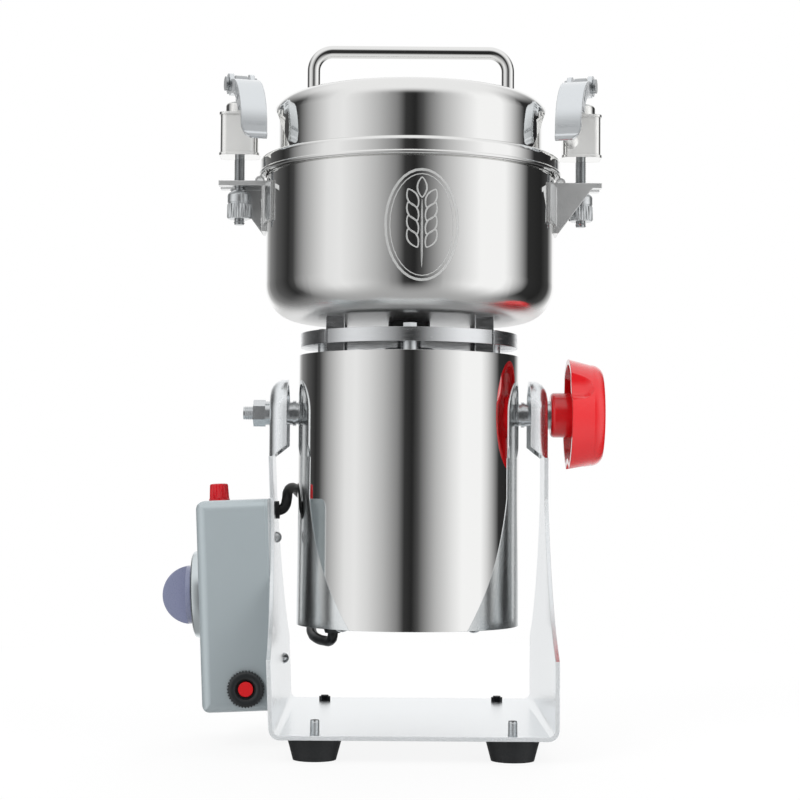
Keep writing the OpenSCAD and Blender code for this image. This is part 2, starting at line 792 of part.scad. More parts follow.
module arm_grommet() {
    color("#1b1c1e") at_box() translate([0, 0, grommet_z]) {
        difference() {
            union() {
                translate([sheet_t, 0, 0]) along_x(grommet_t, grommet_r);
                translate([-back_t, 0, 0]) along_x(back_t + sheet_t, grommet_hole_r);
                translate([-back_t - grommet_t, 0, 0]) along_x(grommet_t, grommet_r);
            }
            translate([-back_t - grommet_t - cut, 0, 0])
                along_x(back_t + sheet_t + 2 * grommet_t + 2 * cut, lead_r + pin_gap);
        }
    }
}
// A tube swept along a list of points
function lead_dir(p, i) = let (a = p[max(i - 1, 0)], b = p[min(i + 1, len(p) - 1)]) (b - a) / norm(b - a);
function lead_ring(p, i) = let (d = lead_dir(p, i), u0 = cross(d, [0.3, -0.5, 0.8]), u = u0 / norm(u0),
    v = cross(d, u)) [for (k = [0:lead_sides - 1]) p[i] + lead_r * (cos(k * 360 / lead_sides) * u
    + sin(k * 360 / lead_sides) * v)];
module motor_lead() {
    n = len(lead_points);
    m = lead_sides;
    rings = [for (i = [0:n - 1]) each lead_ring(lead_points, i)];
    walls = [for (i = [0:n - 2], k = [0:m - 1]) each [
        [i * m + k, (i + 1) * m + k, (i + 1) * m + (k + 1) % m],
        [i * m + k, (i + 1) * m + (k + 1) % m, i * m + (k + 1) % m]]];
    ends = [[for (k = [0:m - 1]) k], [for (k = [m - 1:-1:0]) (n - 1) * m + k]];
    color("#17181a") at_axis() polyhedron(rings, concat(walls, ends));
}

// Motor
module motor_housing() {
    color("#c9cccf") at_axis() difference() {
        translate([0, 0, motor_bottom]) tube(motor_len, motor_r, motor_in_r);
        translate([-2 * motor_r, 0, pivot_h]) along_x(4 * motor_r, stud_r + pin_gap);
    }
}
module each_cover_screw() {
    for (a = [45:90:315]) rotate(a) translate([cover_screw_r, 0, 0]) children();
}
module each_flange_screw() {
    for (a = [0:90:270]) rotate(a) translate([flange_screw_r, 0, 0]) children();
}
module motor_base_cover() {
    color("#3f4245") at_axis() translate([0, 0, motor_bottom]) difference() {
        union() {
            cylinder(base_cover_t, r = motor_in_r - pin_gap);
            translate([lead_entry[0], lead_entry[1], -lead_gland_h])
                cylinder(lead_gland_h, r1 = lead_r + lead_gland_wall, r2 = lead_gland_r);
        }
        each_cover_screw() translate([0, 0, -cut])
            cylinder(base_cover_t + 2 * cut, r = screw_r + pin_gap);
        translate([lead_entry[0], lead_entry[1], -lead_gland_h - cut])
            cylinder(lead_gland_h + base_cover_t + 2 * cut, r = lead_r);
        for (i = [0:vents - 1]) rotate(i * 360 / vents) translate([vent_circle_r, 0, -cut])
            cylinder(base_cover_t + 2 * cut, r = vent_r);
    }
}
module motor_screws() {
    color("#8f9396") at_axis() {
        each_cover_screw() {
            translate([0, 0, motor_bottom]) mirror([0, 0, 1]) pan_head(screw_head_r, pan_head_h);
            translate([0, 0, motor_bottom - pan_head_h / 2])
                cylinder(cover_screw_len + pan_head_h / 2, r = screw_r);
        }
        each_flange_screw() {
            translate([0, 0, flange_top]) cylinder(screw_head_h, r = screw_head_r, $fn = 6);
            translate([0, 0, motor_top - upper_carrier_t + flange_screw_up])
                cylinder(flange_top - motor_top + upper_carrier_t, r = screw_r);
            translate([0, 0, motor_top]) tube(flange_gap, spacer_r, screw_r + pin_gap);
        }
    }
}
module bearing_carriers() {
    color("#a7abae") at_axis() {
        // lower spider, held by the cover's screws
        difference() {
            union() {
                translate([0, 0, lower_bearing_z]) cylinder(bearing_h, r = carrier_boss_r);
                translate([0, 0, lower_bearing_z]) intersection() {
                    cylinder(carrier_t, r = motor_in_r - pin_gap);
                    for (a = [45, 135]) rotate(a)
                        translate([-motor_r, -carrier_boss_r / 2, 0])
                            cube([2 * motor_r, carrier_boss_r, carrier_t]);
                }
                each_cover_screw() translate([0, 0, motor_bottom + base_cover_t])
                    cylinder(carrier_t, r = cover_post_r);
            }
            translate([0, 0, lower_bearing_z - cut]) cylinder(bearing_h + 2 * cut, r = bearing_d / 2);
            each_cover_screw() translate([0, 0, motor_bottom])
                cylinder(motor_len / 4, r = screw_r + pin_gap);
        }
        // upper end bell, flush with the housing's top
        difference() {
            translate([0, 0, motor_top - upper_carrier_t])
                cylinder(upper_carrier_t, r = motor_in_r - pin_gap);
            translate([0, 0, motor_top - upper_carrier_t - cut])
                cylinder(upper_carrier_t + 2 * cut, r = bearing_d / 2);
            each_flange_screw() translate([0, 0, motor_top - upper_carrier_t - cut])
                cylinder(upper_carrier_t + 2 * cut, r = screw_r + pin_gap);
            for (a = [45:90:315]) rotate(a)
                translate([motor_in_r - cast_recess_in, 0, motor_top - upper_carrier_t - cut])
                    cylinder(upper_carrier_t / 2 + cut, r = cast_recess_r);
        }
    }
}
module bearing() {
    bore = shaft_d / 2 + pin_gap;
    tube(bearing_h, bearing_d / 2, bearing_d / 2 - race_t);
    tube(bearing_h, bore + race_t, bore);
    translate([0, 0, bearing_recess])
        tube(bearing_h - 2 * bearing_recess, bearing_d / 2 - race_t, bore + race_t);
}
module bearings() {
    color("#b8bcbf") at_axis() for (z = [lower_bearing_z, upper_bearing_z])
        translate([0, 0, z]) bearing();
}
module stator_core() {
    color("#6b6e70") at_axis() translate([0, 0, core_z]) difference() {
        cylinder(core_h, r = motor_in_r - pin_gap);
        translate([0, 0, -cut]) cylinder(core_h + 2 * cut, r = armature_d / 2 + air_gap);
        // slots that the field coils pass through
        for (a = [0, 180]) rotate(a) coil_slot(cut);
    }
}
module coil_slot(overrun) {
    translate([0, 0, -overrun]) linear_extrude(core_h + 2 * overrun) intersection() {
        difference() {
            circle(coil_r);
            circle(coil_in_r);
        }
        for (s = [-1, 1]) rotate(s * coil_angle) translate([0, -coil_r / 8]) square([coil_r, coil_r / 4]);
    }
}
module field_coils() {
    color("#b56a35") at_axis() for (a = [0, 180]) rotate(a) {
        translate([0, 0, core_z]) coil_slot(0);
        for (z = [core_z - coil_end_h, core_top]) translate([0, 0, z])
            linear_extrude(coil_end_h) intersection() {
                difference() {
                    circle(coil_r);
                    circle(coil_in_r);
                }
                polygon([[0, 0], 2 * coil_r * [cos(coil_end_angle), sin(coil_end_angle)],
                    [2 * coil_r, 2 * coil_r], [2 * coil_r, -2 * coil_r],
                    2 * coil_r * [cos(coil_end_angle), -sin(coil_end_angle)]]);
            }
    }
}
module brush_holders() {
    color("#8a6d3b") at_axis() for (side = [0, 180]) rotate(side)
        translate([0, commutator_d / 2 + brush_clear, brush_z]) difference() {
            union() {
                translate([-brush_w / 2 - brush_wall, 0, -brush_w / 2 - brush_wall])
                    cube([brush_w + 2 * brush_wall, brush_l + brush_spring_l, brush_w + 2 * brush_wall]);
                translate([-brush_w / 2, brush_l - brush_w, 0])
                    cube([brush_w, brush_w, motor_top - upper_carrier_t - brush_z]);
            }
            translate([-brush_w / 2 - pin_gap, -cut, -brush_w / 2 - pin_gap])
                cube([brush_w + 2 * pin_gap, brush_l + cut, brush_w + 2 * pin_gap]);
        }
}
module carbon_brushes() {
    color("#2e2e30") at_axis() for (side = [0, 180]) rotate(side) difference() {
        translate([-brush_w / 2, commutator_d / 2 - brush_clear, brush_z - brush_w / 2])
            cube([brush_w, brush_l, brush_w]);
        translate([0, 0, brush_z - brush_w]) cylinder(2 * brush_w, r = commutator_d / 2 + seat_gap);
    }
}
module rotor_shaft() {
    color("#c2c5c8") at_axis() {
        translate([0, 0, shaft_bottom]) cylinder(hub_z - shaft_bottom, d = shaft_d);
        translate([0, 0, hub_z]) cylinder(shaft_top - hub_z, r = blade_bore_r);
    }
}
module armature_core() {
    color("#707376") at_axis() translate([0, 0, core_z])
        tube(core_h, armature_d / 2, shaft_d / 2 + pin_gap);
}
module armature_winding() {
    color("#a85f2c") at_axis() for (z = [core_z - winding_over, core_top]) translate([0, 0, z])
        tube(winding_over, winding_r, shaft_d / 2 + pin_gap);
}
module commutator() {
    color("#c07b3c") at_axis() translate([0, 0, commutator_z])
        tube(commutator_h, commutator_d / 2, shaft_d / 2 + pin_gap);
}
module cooling_fan() {
    color("#2f3234") at_axis() translate([0, 0, fan_z]) {
        tube(fan_h, fan_hub_r, shaft_d / 2 + pin_gap);
        tube(fan_blade_t, fan_d / 2, fan_hub_r - cut);
        for (i = [0:fan_blades - 1]) rotate(i * 360 / fan_blades)
            translate([fan_hub_r - cut / 2, -fan_blade_t / 2, 0])
                cube([fan_d / 2 - fan_hub_r - cut, fan_blade_t, fan_h]);
    }
}
module pivot_bosses() {
    color("#9a9ea1") at_pivot() for (side = [-1, 1]) scale_side(side) difference() {
        intersection() {
            translate([boss_inner_x, 0, 0]) along_x(motor_r, boss_r);
            translate([0, 0, -boss_r - cut])
                cylinder(2 * boss_r + 2 * cut, r = motor_in_r - pin_gap);
        }
        translate([boss_inner_x - cut, 0, 0]) along_x(motor_r, stud_r + pin_gap);
    }
}
module pivot_spacers() {
    // turned collars and washers between the motor and the ears, hollowed to the housing
    length = ear_in_x - seat_gap - boss_inner_x;
    color("#b9bdc0") at_pivot() for (side = [-1, 1]) scale_side(side) difference() {
        union() {
            translate([boss_inner_x, 0, 0]) along_x(length, spacer_boss_r);
            translate([motor_r + wide_washer_off, 0, 0]) along_x(wide_washer_t, wide_washer_r);
            translate([motor_r + wide_washer_off + wide_washer_t, 0, 0])
                along_x(wide_washer_t, narrow_washer_r);
        }
        translate([boss_inner_x - cut, 0, 0]) along_x(length + 2 * cut, stud_r + pin_gap);
        translate([0, 0, -2 * boss_r]) cylinder(4 * boss_r, r = motor_r + pin_gap);
    }
}
module left_pivot_stud() {
    length = nut_seat_x + seat_gap + spring_washer_t + pivot_nut_t + stud_end - stud_inner_x;
    color("#a9adb0") at_pivot() mirror([1, 0, 0]) translate([stud_inner_x, 0, 0]) along_x(length, stud_r);
}
module left_pivot_nut() {
    color("#c3c7ca") at_pivot() mirror([1, 0, 0]) translate([nut_seat_x + seat_gap, 0, 0]) {
        tube_x(spring_washer_t, spring_washer_r, stud_r + pin_gap);
        translate([spring_washer_t, 0, 0]) rotate([0, 90, 0])
            hex_nut(pivot_nut_r, pivot_nut_t, stud_r + pin_gap);
    }
}
module handwheel_stud() {
    color("#b4b8bb") at_pivot() {
        translate([stud_inner_x, 0, 0]) along_x(wheel_x + wheel_stud_in - stud_inner_x, stud_r);
        translate([nut_seat_x + seat_gap, 0, 0])
            tube_x(wheel_washer_t - seat_gap, wheel_washer_r, stud_r + pin_gap);
    }
}
// The handwheel's outer profile, filled: hub and slightly conical cup with a domed face
module wheel_profile() {
    r = wheel_d / 2;
    face_r = r - wheel_taper - wheel_edge_r;
    translate([0, hub_edge_r]) square([hub_d / 2, hub_neck_l]);
    square([hub_d / 2 - hub_edge_r, hub_neck_l]);
    translate([hub_d / 2 - hub_edge_r, hub_edge_r]) circle(hub_edge_r);
    intersection() {
        translate([0, hub_neck_l]) {
            polygon([[0, 0], [r, 0], [r - wheel_taper, wheel_depth - wheel_edge_r],
                [face_r, wheel_depth], [0, wheel_depth]]);
            translate([face_r, wheel_depth - wheel_edge_r]) circle(wheel_edge_r);
        }
        translate([0, hub_neck_l + wheel_depth - wheel_dome_r]) circle(wheel_dome_r);
    }
}
// The hollow between hub and rim, open towards the motor
module wheel_hollow() {
    r = wheel_d / 2 - wheel_wall;
    depth = wheel_depth - wheel_wall - wheel_dome;
    translate([0, hub_neck_l]) difference() {
        translate([0, -cut]) polygon([[0, 0], [r, 0], [r - wheel_taper, depth], [0, depth]]);
        translate([0, -2 * cut]) square([hub_d / 2, wheel_depth]);
    }
}
// Finger flutes from the open edge, each with a round end
module each_flute(r) {
    for (i = [0:flutes - 1]) rotate(flute_first + i * 360 / flutes)
        translate([flute_reach, 0, 0]) {
            translate([0, 0, -cut]) cylinder(hub_neck_l + flute_l + cut, r = r);
            translate([0, 0, hub_neck_l + flute_l]) sphere(r);
        }
}
module handwheel() {
    color("#d8202a") at_pivot() translate([nut_seat_x + wheel_washer_t, 0, 0]) rotate([0, 90, 0])
        difference() {
            union() {
                rotate_extrude() difference() {
                    wheel_profile();
                    wheel_hollow();
                }
                // walls of the flutes inside the cup
                intersection() {
                    rotate_extrude() wheel_profile();
                    each_flute(flute_r + wheel_wall);
                }
            }
            each_flute(flute_r);
            translate([0, 0, -cut]) cylinder(hub_neck_l + wheel_stud_in + cut, r = stud_r + pin_gap);
        }
}

// Flange and legs
module each_leg() { for (x = [-1, 1], y = [-1, 1]) translate([x * leg_x, y * leg_y, 0]) children(); }
module motor_flange() {
    side = leg_side + 2 * leg_gap;
    color("#c4c8cb") at_axis() translate([0, 0, flange_z]) difference() {
        tube(flange_t, flange_d / 2, flange_hole_r);
        each_leg() translate([-side / 2, -side / 2, -cut]) cube([side, side, flange_t + 2 * cut]);
        each_flange_screw() translate([0, 0, -cut]) cylinder(flange_t + 2 * cut, r = screw_r + pin_gap);
    }
}
module bowl_legs() {
    color("#bfc3c6") at_axis() each_leg() difference() {
        translate([-leg_side / 2, -leg_side / 2, motor_top]) cube([leg_side, leg_side, leg_h]);
        translate([0, 0, motor_top + leg_h / 4]) cylinder(leg_h, r = screw_r + pin_gap);
    }
}
module bowl_screws() {
    color("#cdd0d2") at_axis() each_leg() {
        translate([0, 0, bowl_z + bowl_wall]) pan_head(screw_head_r, pan_head_h);
        translate([0, 0, motor_top + leg_h / 4]) cylinder(leg_h * 3 / 4 + bowl_wall + cut, r = screw_r);
    }
}

// Bowl
module cup_profile(r, h, corner) {
    square([r - corner, h]);
    translate([0, corner]) square([r, h - corner]);
    translate([r - corner, corner]) circle(corner);
}
module bowl() {
    color("#c9cccf") at_axis() difference() {
        translate([0, 0, bowl_z]) rotate_extrude() intersection() {
            difference() {
                cup_profile(bowl_r, bowl_h, bowl_corner_r);
                translate([0, bowl_wall])
                    cup_profile(bowl_r - bowl_wall, bowl_h, bowl_corner_r - bowl_wall);
            }
            square([bowl_r, bowl_h]);
        }
        translate([0, 0, bowl_z - cut]) cylinder(bowl_wall + 2 * cut, r = seal_r + pin_gap);
        each_leg() translate([0, 0, bowl_z - cut]) cylinder(bowl_wall + 2 * cut, r = screw_r + pin_gap);
        for (z = rivet_drops) translate([-2 * bowl_r, 0, plate_z - z])
            along_x(4 * bowl_r, rivet_r + pin_gap);
    }
}
module shaft_seal() {
    color("#2a2b2d") at_axis() translate([0, 0, bowl_z]) difference() {
        union() {
            translate([0, 0, -seal_h]) cylinder(seal_h + bowl_wall, r = seal_r);
            translate([0, 0, bowl_wall]) cylinder(seal_flange_t, r = seal_flange_r);
        }
        translate([0, 0, -seal_h - cut])
            cylinder(seal_h + bowl_wall + seal_flange_t + 2 * cut, r = shaft_d / 2 + pin_gap);
    }
}

// Blades
module blade_hub() {
    color("#b4b8bb") at_axis() {
        translate([0, 0, hub_z]) tube(lower_blade_z - hub_z, hub_r, blade_bore_r + pin_gap);
        translate([0, 0, lower_blade_z + blade_t])
            tube(upper_blade_z - lower_blade_z - blade_t, hub_r, blade_bore_r + pin_gap);
    }
}
module blade(tip_share) {
    half = blade_span / 2;
    difference() {
        linear_extrude(blade_t) polygon([[-half, -blade_w * tip_share], [-half / 2, -blade_w / 2],
            [half / 2, -blade_w / 2], [half, -blade_w / 2], [half, blade_w * tip_share],
            [half / 2, blade_w / 2], [-half / 2, blade_w / 2], [-half, blade_w / 2]]);
        translate([0, 0, -cut]) cylinder(blade_t + 2 * cut, r = blade_bore_r + pin_gap);
    }
}
module lower_blade() {
    color("#c5c9cc") at_axis() translate([0, 0, lower_blade_z]) rotate(20) blade(0.1);
}
module upper_blade() {
    color("#c5c9cc") at_axis() translate([0, 0, upper_blade_z]) rotate(110) blade(0.25);
}
module blade_nut() {
    color("#aeb2b5") at_axis() translate([0, 0, blade_nut_z])
        hex_nut(hub_r, blade_nut_h, blade_bore_r + pin_gap);
}

// Lid
module lid_profile(inset) {
    edge = skirt_edge_r - inset;
    edge_x = skirt_d / 2 - skirt_edge_r;
    square([edge_x, skirt_h - inset]);
    square([skirt_d / 2 - inset, skirt_h - skirt_edge_r]);
    translate([edge_x, skirt_h - skirt_edge_r]) circle(edge);
    translate([0, skirt_h - inset]) {
        h = lid_h;
        corner = lid_shoulder_r - inset;
        r = lid_r - inset;
        square([r, h - corner]);
        square([r - corner, h]);
        translate([r - corner, h - corner]) circle(corner);
    }
}
// What the two side recesses take away from a lid whose recess floor has radius r
module lid_recesses(r, grow) {
    height = recess_top_z - skirt_top;
    difference() {
        for (side = [-1, 1]) scale_side(side) rotate([90, 0, 90]) linear_extrude(skirt_d)
            translate([0, skirt_top - grow]) {
                polygon([[-recess_half_bottom - grow, 0], [recess_half_bottom + grow, 0],
                    [recess_half_top + grow, height + grow - recess_curve_r],
                    [recess_half_top + grow - recess_curve_r, height + 2 * grow],
                    [-recess_half_top - grow + recess_curve_r, height + 2 * grow],
                    [-recess_half_top - grow, height + grow - recess_curve_r]]);
            }
        cylinder(lid_top + cut, r = r);
    }
}
module lid() {
    color("#c9cccf") at_axis() difference() {
        difference() {
            translate([0, 0, skirt_z]) rotate_extrude() {
                lid_profile(0);
                translate([skirt_d / 2 - hem_in, hem_r]) circle(hem_r);
            }
            lid_recesses(lid_r - recess_depth, 0);
        }
        difference() {
            translate([0, 0, skirt_z]) rotate_extrude() {
                lid_profile(bowl_wall);
                translate([0, -cut]) square([skirt_d / 2 - bowl_wall, 2 * cut]);
            }
            lid_recesses(lid_r - recess_depth - bowl_wall, bowl_wall);
        }
        for (side = [-1, 1]) translate([side * handle_span / 2, 0, skirt_top])
            cylinder(lid_h + cut, r = handle_screw_r + pin_gap);
    }
}
module lid_handle() {
    color("#d2d5d7") at_axis() for (side = [-1, 1]) scale_side(side) {
        difference() {
            translate([handle_span / 2, 0, lid_top])
                cylinder(handle_top - handle_bend_r - lid_top, r = handle_rod_r);
            translate([handle_span / 2, 0, lid_top - cut])
                cylinder(handle_h / 2, r = handle_screw_r + pin_gap);
        }
        translate([handle_span / 2 - handle_bend_r, 0, handle_top - handle_bend_r]) rotate([90, 0, 0])
            rotate_extrude(angle = 90) translate([handle_bend_r, 0]) circle(handle_rod_r);
        translate([0, 0, handle_top]) along_x(handle_span / 2 - handle_bend_r, handle_rod_r);
    }
}
module lid_gasket() {
    color("#e6e6e2") at_axis() translate([0, 0, gasket_z])
        tube(gasket_h, skirt_d / 2 - skirt_edge_r, lid_r + part_gap);
}
module handle_screws() {
    x = handle_span / 2;
    color("#8f9396") at_axis() for (side = [-1, 1]) translate([side * x, 0, lid_top - bowl_wall]) {
        cylinder(handle_h / 2 - cut, r = handle_screw_r);
        mirror([0, 0, 1]) pan_head(box_screw_head_r, pan_head_h);
    }
}

// Latches, drawn on the right and turned for the left
module latch_side(side) { at_axis() rotate(side < 0 ? 180 : 0) children(); }
module latch_brackets() {
    color("#b9bdc0") for (side = [-1, 1]) latch_side(side) {
        difference() {
            union() {
                translate([bowl_r - cut, -bracket_half, bracket_foot_z])
                    cube([bracket_wall + cut, 2 * bracket_half, plate_z + bracket_t - bracket_foot_z]);
                translate([bowl_r - cut, -bracket_half, plate_z])
                    cube([bracket_end - bowl_r + cut, 2 * bracket_half, bracket_t]);
                // pad that wraps the bowl
                translate([0, 0, plate_z - pad_drop]) linear_extrude(pad_drop) intersection() {
                    circle(bowl_r + pad_t);
                    polygon([[0, 0], for (a = [-pad_angle, pad_angle]) bowl_d * [cos(a), sin(a)]]);
                }
                translate([0, -bracket_half, 0]) rotate([90, 0, 0]) mirror([0, 0, 1])
                    linear_extrude(gusset_t) polygon([[bowl_r, plate_z + cut], [bowl_r, bracket_foot_z],
                        [bowl_r + bracket_wall, bracket_foot_z],
                        [latch_reach + gusset_reach / 3, plate_z - gusset_t],
                        [latch_reach + gusset_reach / 2, plate_z + cut]]);
            }
            translate([0, 0, bracket_foot_z - cut]) cylinder(bowl_h, r = bowl_r + pin_gap);
            // fork that the rod swings out of
            translate([fork_x, 0, plate_z - cut]) linear_extrude(bracket_t + 2 * cut) {
                translate([rod_r + fork_gap, 0]) circle(rod_r + fork_gap);
                translate([rod_r + fork_gap, -rod_r - fork_gap])
                    square([bracket_end, 2 * rod_r + 2 * fork_gap]);
            }
            for (z = rivet_drops) translate([0, 0, plate_z - z]) along_x(2 * bowl_r, rivet_r + pin_gap);
        }
        // curled lug above the plate
        translate([bowl_r + lug_r, bracket_half, plate_z + bracket_t]) rotate([90, 0, 0])
            linear_extrude(2 * bracket_half) difference() {
                circle(lug_r / 2 + lug_t);
                circle(lug_r / 2);
                translate([-2 * lug_r, -4 * lug_r]) square([4 * lug_r, 4 * lug_r]);
            }
        for (z = rivet_drops) translate([0, 0, plate_z - z]) {
            intersection() {
                translate([bowl_r - bowl_wall - rivet_head_t, 0, 0]) along_x(rivet_head_t, rivet_head_r);
                translate([0, 0, -rivet_head_r])
                    cylinder(2 * rivet_head_r, r = bowl_r - bowl_wall - pin_gap);
            }
            translate([bowl_r - bowl_wall - rivet_head_t, 0, 0])
                along_x(bowl_wall + bracket_wall + 2 * rivet_head_t, rivet_r);
            translate([bowl_r + bracket_wall, 0, 0]) along_x(rivet_head_t, rivet_head_r);
        }
    }
}
// The nut's top is part of a ball about the swing axis, so it rolls under the plate
module adjust_nut(side) {
    color("#d5d8da") latch_side(side) translate([latch_reach, 0, 0]) difference() {
        intersection() {
            translate([0, 0, nut_top - nut_h]) cylinder(nut_h, d = nut_d);
            union() {
                translate([0, 0, nut_top - nut_h]) cylinder(nut_h - nut_seat_r, d = nut_d);
                translate([0, 0, swing_z]) sphere(nut_seat_r);
            }
        }
        translate([0, 0, nut_top - nut_h - cut]) cylinder(nut_h + 2 * cut, r = rod_r + pin_gap);
    }
}
module left_adjust_nut() { adjust_nut(-1); }
module right_adjust_nut() { adjust_nut(1); }
// Turns a lever's plane so that its front points in towards the lid
module at_lever(side) {
    at_axis() translate([side * latch_reach, 0, hinge_z])
        rotate([0, 0, -90 - side * lever_turn]) children();
}
module latch_rod(side) {
    pin_half = lever_w / 2 + lever_pin_head_t;
    color("#8d9194") {
        latch_side(side) translate([latch_reach, 0, rod_bottom])
            cylinder(hinge_z - rod_bottom - eye_r / 2, r = rod_r);
        at_lever(side) difference() {
            rotate([90, 0, 0]) translate([0, 0, -eye_w / 2]) cylinder(eye_w, r = eye_r);
            rotate([90, 0, 0]) translate([0, 0, -eye_w]) cylinder(2 * eye_w, r = lever_pin_r + pin_gap);
        }
        at_lever(side) rotate([90, 0, 0]) {
            translate([0, 0, -lever_w / 2 - part_gap]) cylinder(lever_w + 2 * part_gap, r = lever_pin_r);
            translate([0, 0, -pin_half - part_gap]) cylinder(lever_pin_head_t, r = lever_pin_head_r);
            translate([0, 0, lever_w / 2 + part_gap]) cylinder(lever_pin_head_t, r = lever_pin_head_r);
        }
    }
}
module left_latch_rod() { latch_rod(-1); }
module right_latch_rod() { latch_rod(1); }
module latch_housing(side) {
    body_w = latch_w - 2 * latch_lip;
    color("#aaaeb1") latch_side(side) translate([latch_reach, 0, 0]) {
        difference() {
            union() {
                translate([0, 0, latch_z]) linear_extrude(latch_h)
                    round_rect(body_w, latch_depth, latch_corner_r);
                for (z = [latch_z, latch_top - latch_lip_h]) translate([0, 0, z])
                    linear_extrude(latch_lip_h)
                        round_rect(latch_w, latch_depth + 2 * latch_lip, latch_corner_r + latch_lip);
            }
            translate([0, 0, latch_z + latch_lip_h]) linear_extrude(latch_h - 2 * latch_lip_h)
                round_rect(body_w - 2 * latch_wall, latch_depth - 2 * latch_wall,
                    latch_corner_r - latch_wall);
            translate([0, 0, latch_z - cut]) cylinder(latch_h + 2 * cut, r = rod_r + pin_gap);
        }
        // cap on the rod
        translate([0, 0, latch_top]) rotate_extrude() difference() {
            union() {
                square([cap_r, cap_h - cap_edge_r]);
                square([cap_r - cap_edge_r, cap_h]);
                translate([cap_r - cap_edge_r, cap_h - cap_edge_r]) circle(cap_edge_r);
            }
            translate([0, -cut]) square([rod_r + pin_gap, cap_h + 2 * cut]);
        }
        // cross-head screw on the face next to the gusset
        translate([-latch_screw_x, -latch_depth / 2, latch_screw_z]) rotate([90, 0, 0])
            pan_head(latch_screw_r, latch_screw_t);
    }
}
module left_latch_housing() { latch_housing(-1); }
module right_latch_housing() { latch_housing(1); }
// The lever's side outline: s runs forward from the hinge, z up
module lever_arc(inner_r, from_angle, to_angle) {
    far = 3 * lever_r;
    translate([lever_centre_s, -lever_centre_drop]) intersection() {
        difference() {
            circle(lever_r);
            circle(inner_r);
        }
        polygon([[0, 0], far * [cos(from_angle), sin(from_angle)],
            far * [cos((from_angle + to_angle) / 2), sin((from_angle + to_angle) / 2)],
            far * [cos(to_angle), sin(to_angle)]]);
    }
}
module latch_lever(side) {
    half = lever_w / 2;
    color("#b9bec2") at_lever(side) difference() {
        union() {
            rotate([90, 0, 0]) linear_extrude(lever_w, center = true) {
                lever_arc(lever_r - lever_t, lever_end, lever_start);
                translate([lever_centre_s + (lever_r - lever_t / 2) * cos(lever_end),
                    -lever_centre_drop + lever_r * sin(lever_end)]) circle(lip_r);
            }
            for (y = [-half, half - cheek_t]) translate([0, y + cheek_t, 0]) rotate([90, 0, 0])
                linear_extrude(cheek_t) {
                    lever_arc(lever_r - cheek_depth, cheek_end, cheek_start);
                    circle(ear_bump_r);
                }
        }
        rotate([90, 0, 0]) cylinder(2 * lever_w, r = lever_pin_r + pin_gap, center = true);
        // round lower corner on the side away from the lid
        translate([0, side * (half - lever_corner_r), lever_tip_z + lever_corner_r])
            rotate([90, 0, 90]) linear_extrude(2 * lever_r) difference() {
                translate([side > 0 ? 0 : -2 * lever_corner_r, -2 * lever_corner_r])
                    square(2 * lever_corner_r);
                circle(lever_corner_r);
            }
        // pocket for the rod's eye
        translate([-2 * eye_r, -eye_w / 2 - part_gap, -2 * eye_r])
            cube([3.2 * eye_r, eye_w + 2 * part_gap, 4 * eye_r]);
        for (a = slot_angles) translate([lever_centre_s, 0, -lever_centre_drop]) rotate([0, -a, 0])
            translate([lever_r - cheek_depth / 2 - slot_len / 2, 0, 0]) rotate([90, 0, 0])
                linear_extrude(2 * lever_w, center = true) {
                    circle(slot_r);
                    translate([slot_len, 0]) circle(slot_r);
                    translate([0, -slot_r]) square([slot_len, 2 * slot_r]);
                }
    }
}
module left_latch_lever() { latch_lever(-1); }
module right_latch_lever() { latch_lever(1); }

u_frame();
rubber_feet();
foot_fasteners();
control_box();
control_box_back();
box_fasteners();
timer_dial();
timer_body();
timer_knob();
lamp_lens();
lamp_body();
reset_breaker();
reset_collar();
reset_button();
mains_gland();
arm_grommet();
motor_lead();
motor_housing();
motor_base_cover();
motor_screws();
bearing_carriers();
bearings();
stator_core();
field_coils();
brush_holders();
carbon_brushes();
rotor_shaft();
armature_core();
armature_winding();
commutator();
cooling_fan();
pivot_bosses();
left_pivot_stud();
left_pivot_nut();
pivot_spacers();
handwheel();
handwheel_stud();
motor_flange();
bowl_legs();
bowl_screws();
bowl();
shaft_seal();
blade_hub();
lower_blade();
upper_blade();
blade_nut();
lid();
lid_handle();
lid_gasket();
handle_screws();
latch_brackets();
left_latch_rod();
left_latch_housing();
left_latch_lever();
left_adjust_nut();
right_latch_rod();
right_latch_housing();
right_latch_lever();
right_adjust_nut();
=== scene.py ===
import math

import bmesh
import bpy
from mathutils import Matrix, Vector


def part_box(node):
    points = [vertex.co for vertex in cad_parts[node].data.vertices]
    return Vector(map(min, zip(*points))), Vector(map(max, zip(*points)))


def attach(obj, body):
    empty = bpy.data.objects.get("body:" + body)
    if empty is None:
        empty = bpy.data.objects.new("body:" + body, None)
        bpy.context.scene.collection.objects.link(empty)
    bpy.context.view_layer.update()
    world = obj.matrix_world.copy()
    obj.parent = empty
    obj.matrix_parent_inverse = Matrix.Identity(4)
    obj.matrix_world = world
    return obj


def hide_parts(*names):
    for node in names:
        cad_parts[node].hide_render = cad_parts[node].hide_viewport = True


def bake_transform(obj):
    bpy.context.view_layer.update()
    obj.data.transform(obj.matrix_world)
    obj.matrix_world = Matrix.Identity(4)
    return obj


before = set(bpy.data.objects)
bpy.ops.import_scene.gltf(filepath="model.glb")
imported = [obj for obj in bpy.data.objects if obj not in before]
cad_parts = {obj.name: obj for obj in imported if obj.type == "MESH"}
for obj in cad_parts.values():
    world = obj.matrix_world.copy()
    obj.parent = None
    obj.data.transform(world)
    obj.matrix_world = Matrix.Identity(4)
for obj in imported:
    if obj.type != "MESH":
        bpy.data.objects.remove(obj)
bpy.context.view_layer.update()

MM = 0.001

# The mill's own axis is the bowl's. Every part on the tilting mill is placed from it, and the camera
# looks at it too.
AXIS_X = (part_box("motor_housing")[0].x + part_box("motor_housing")[1].x) / 2

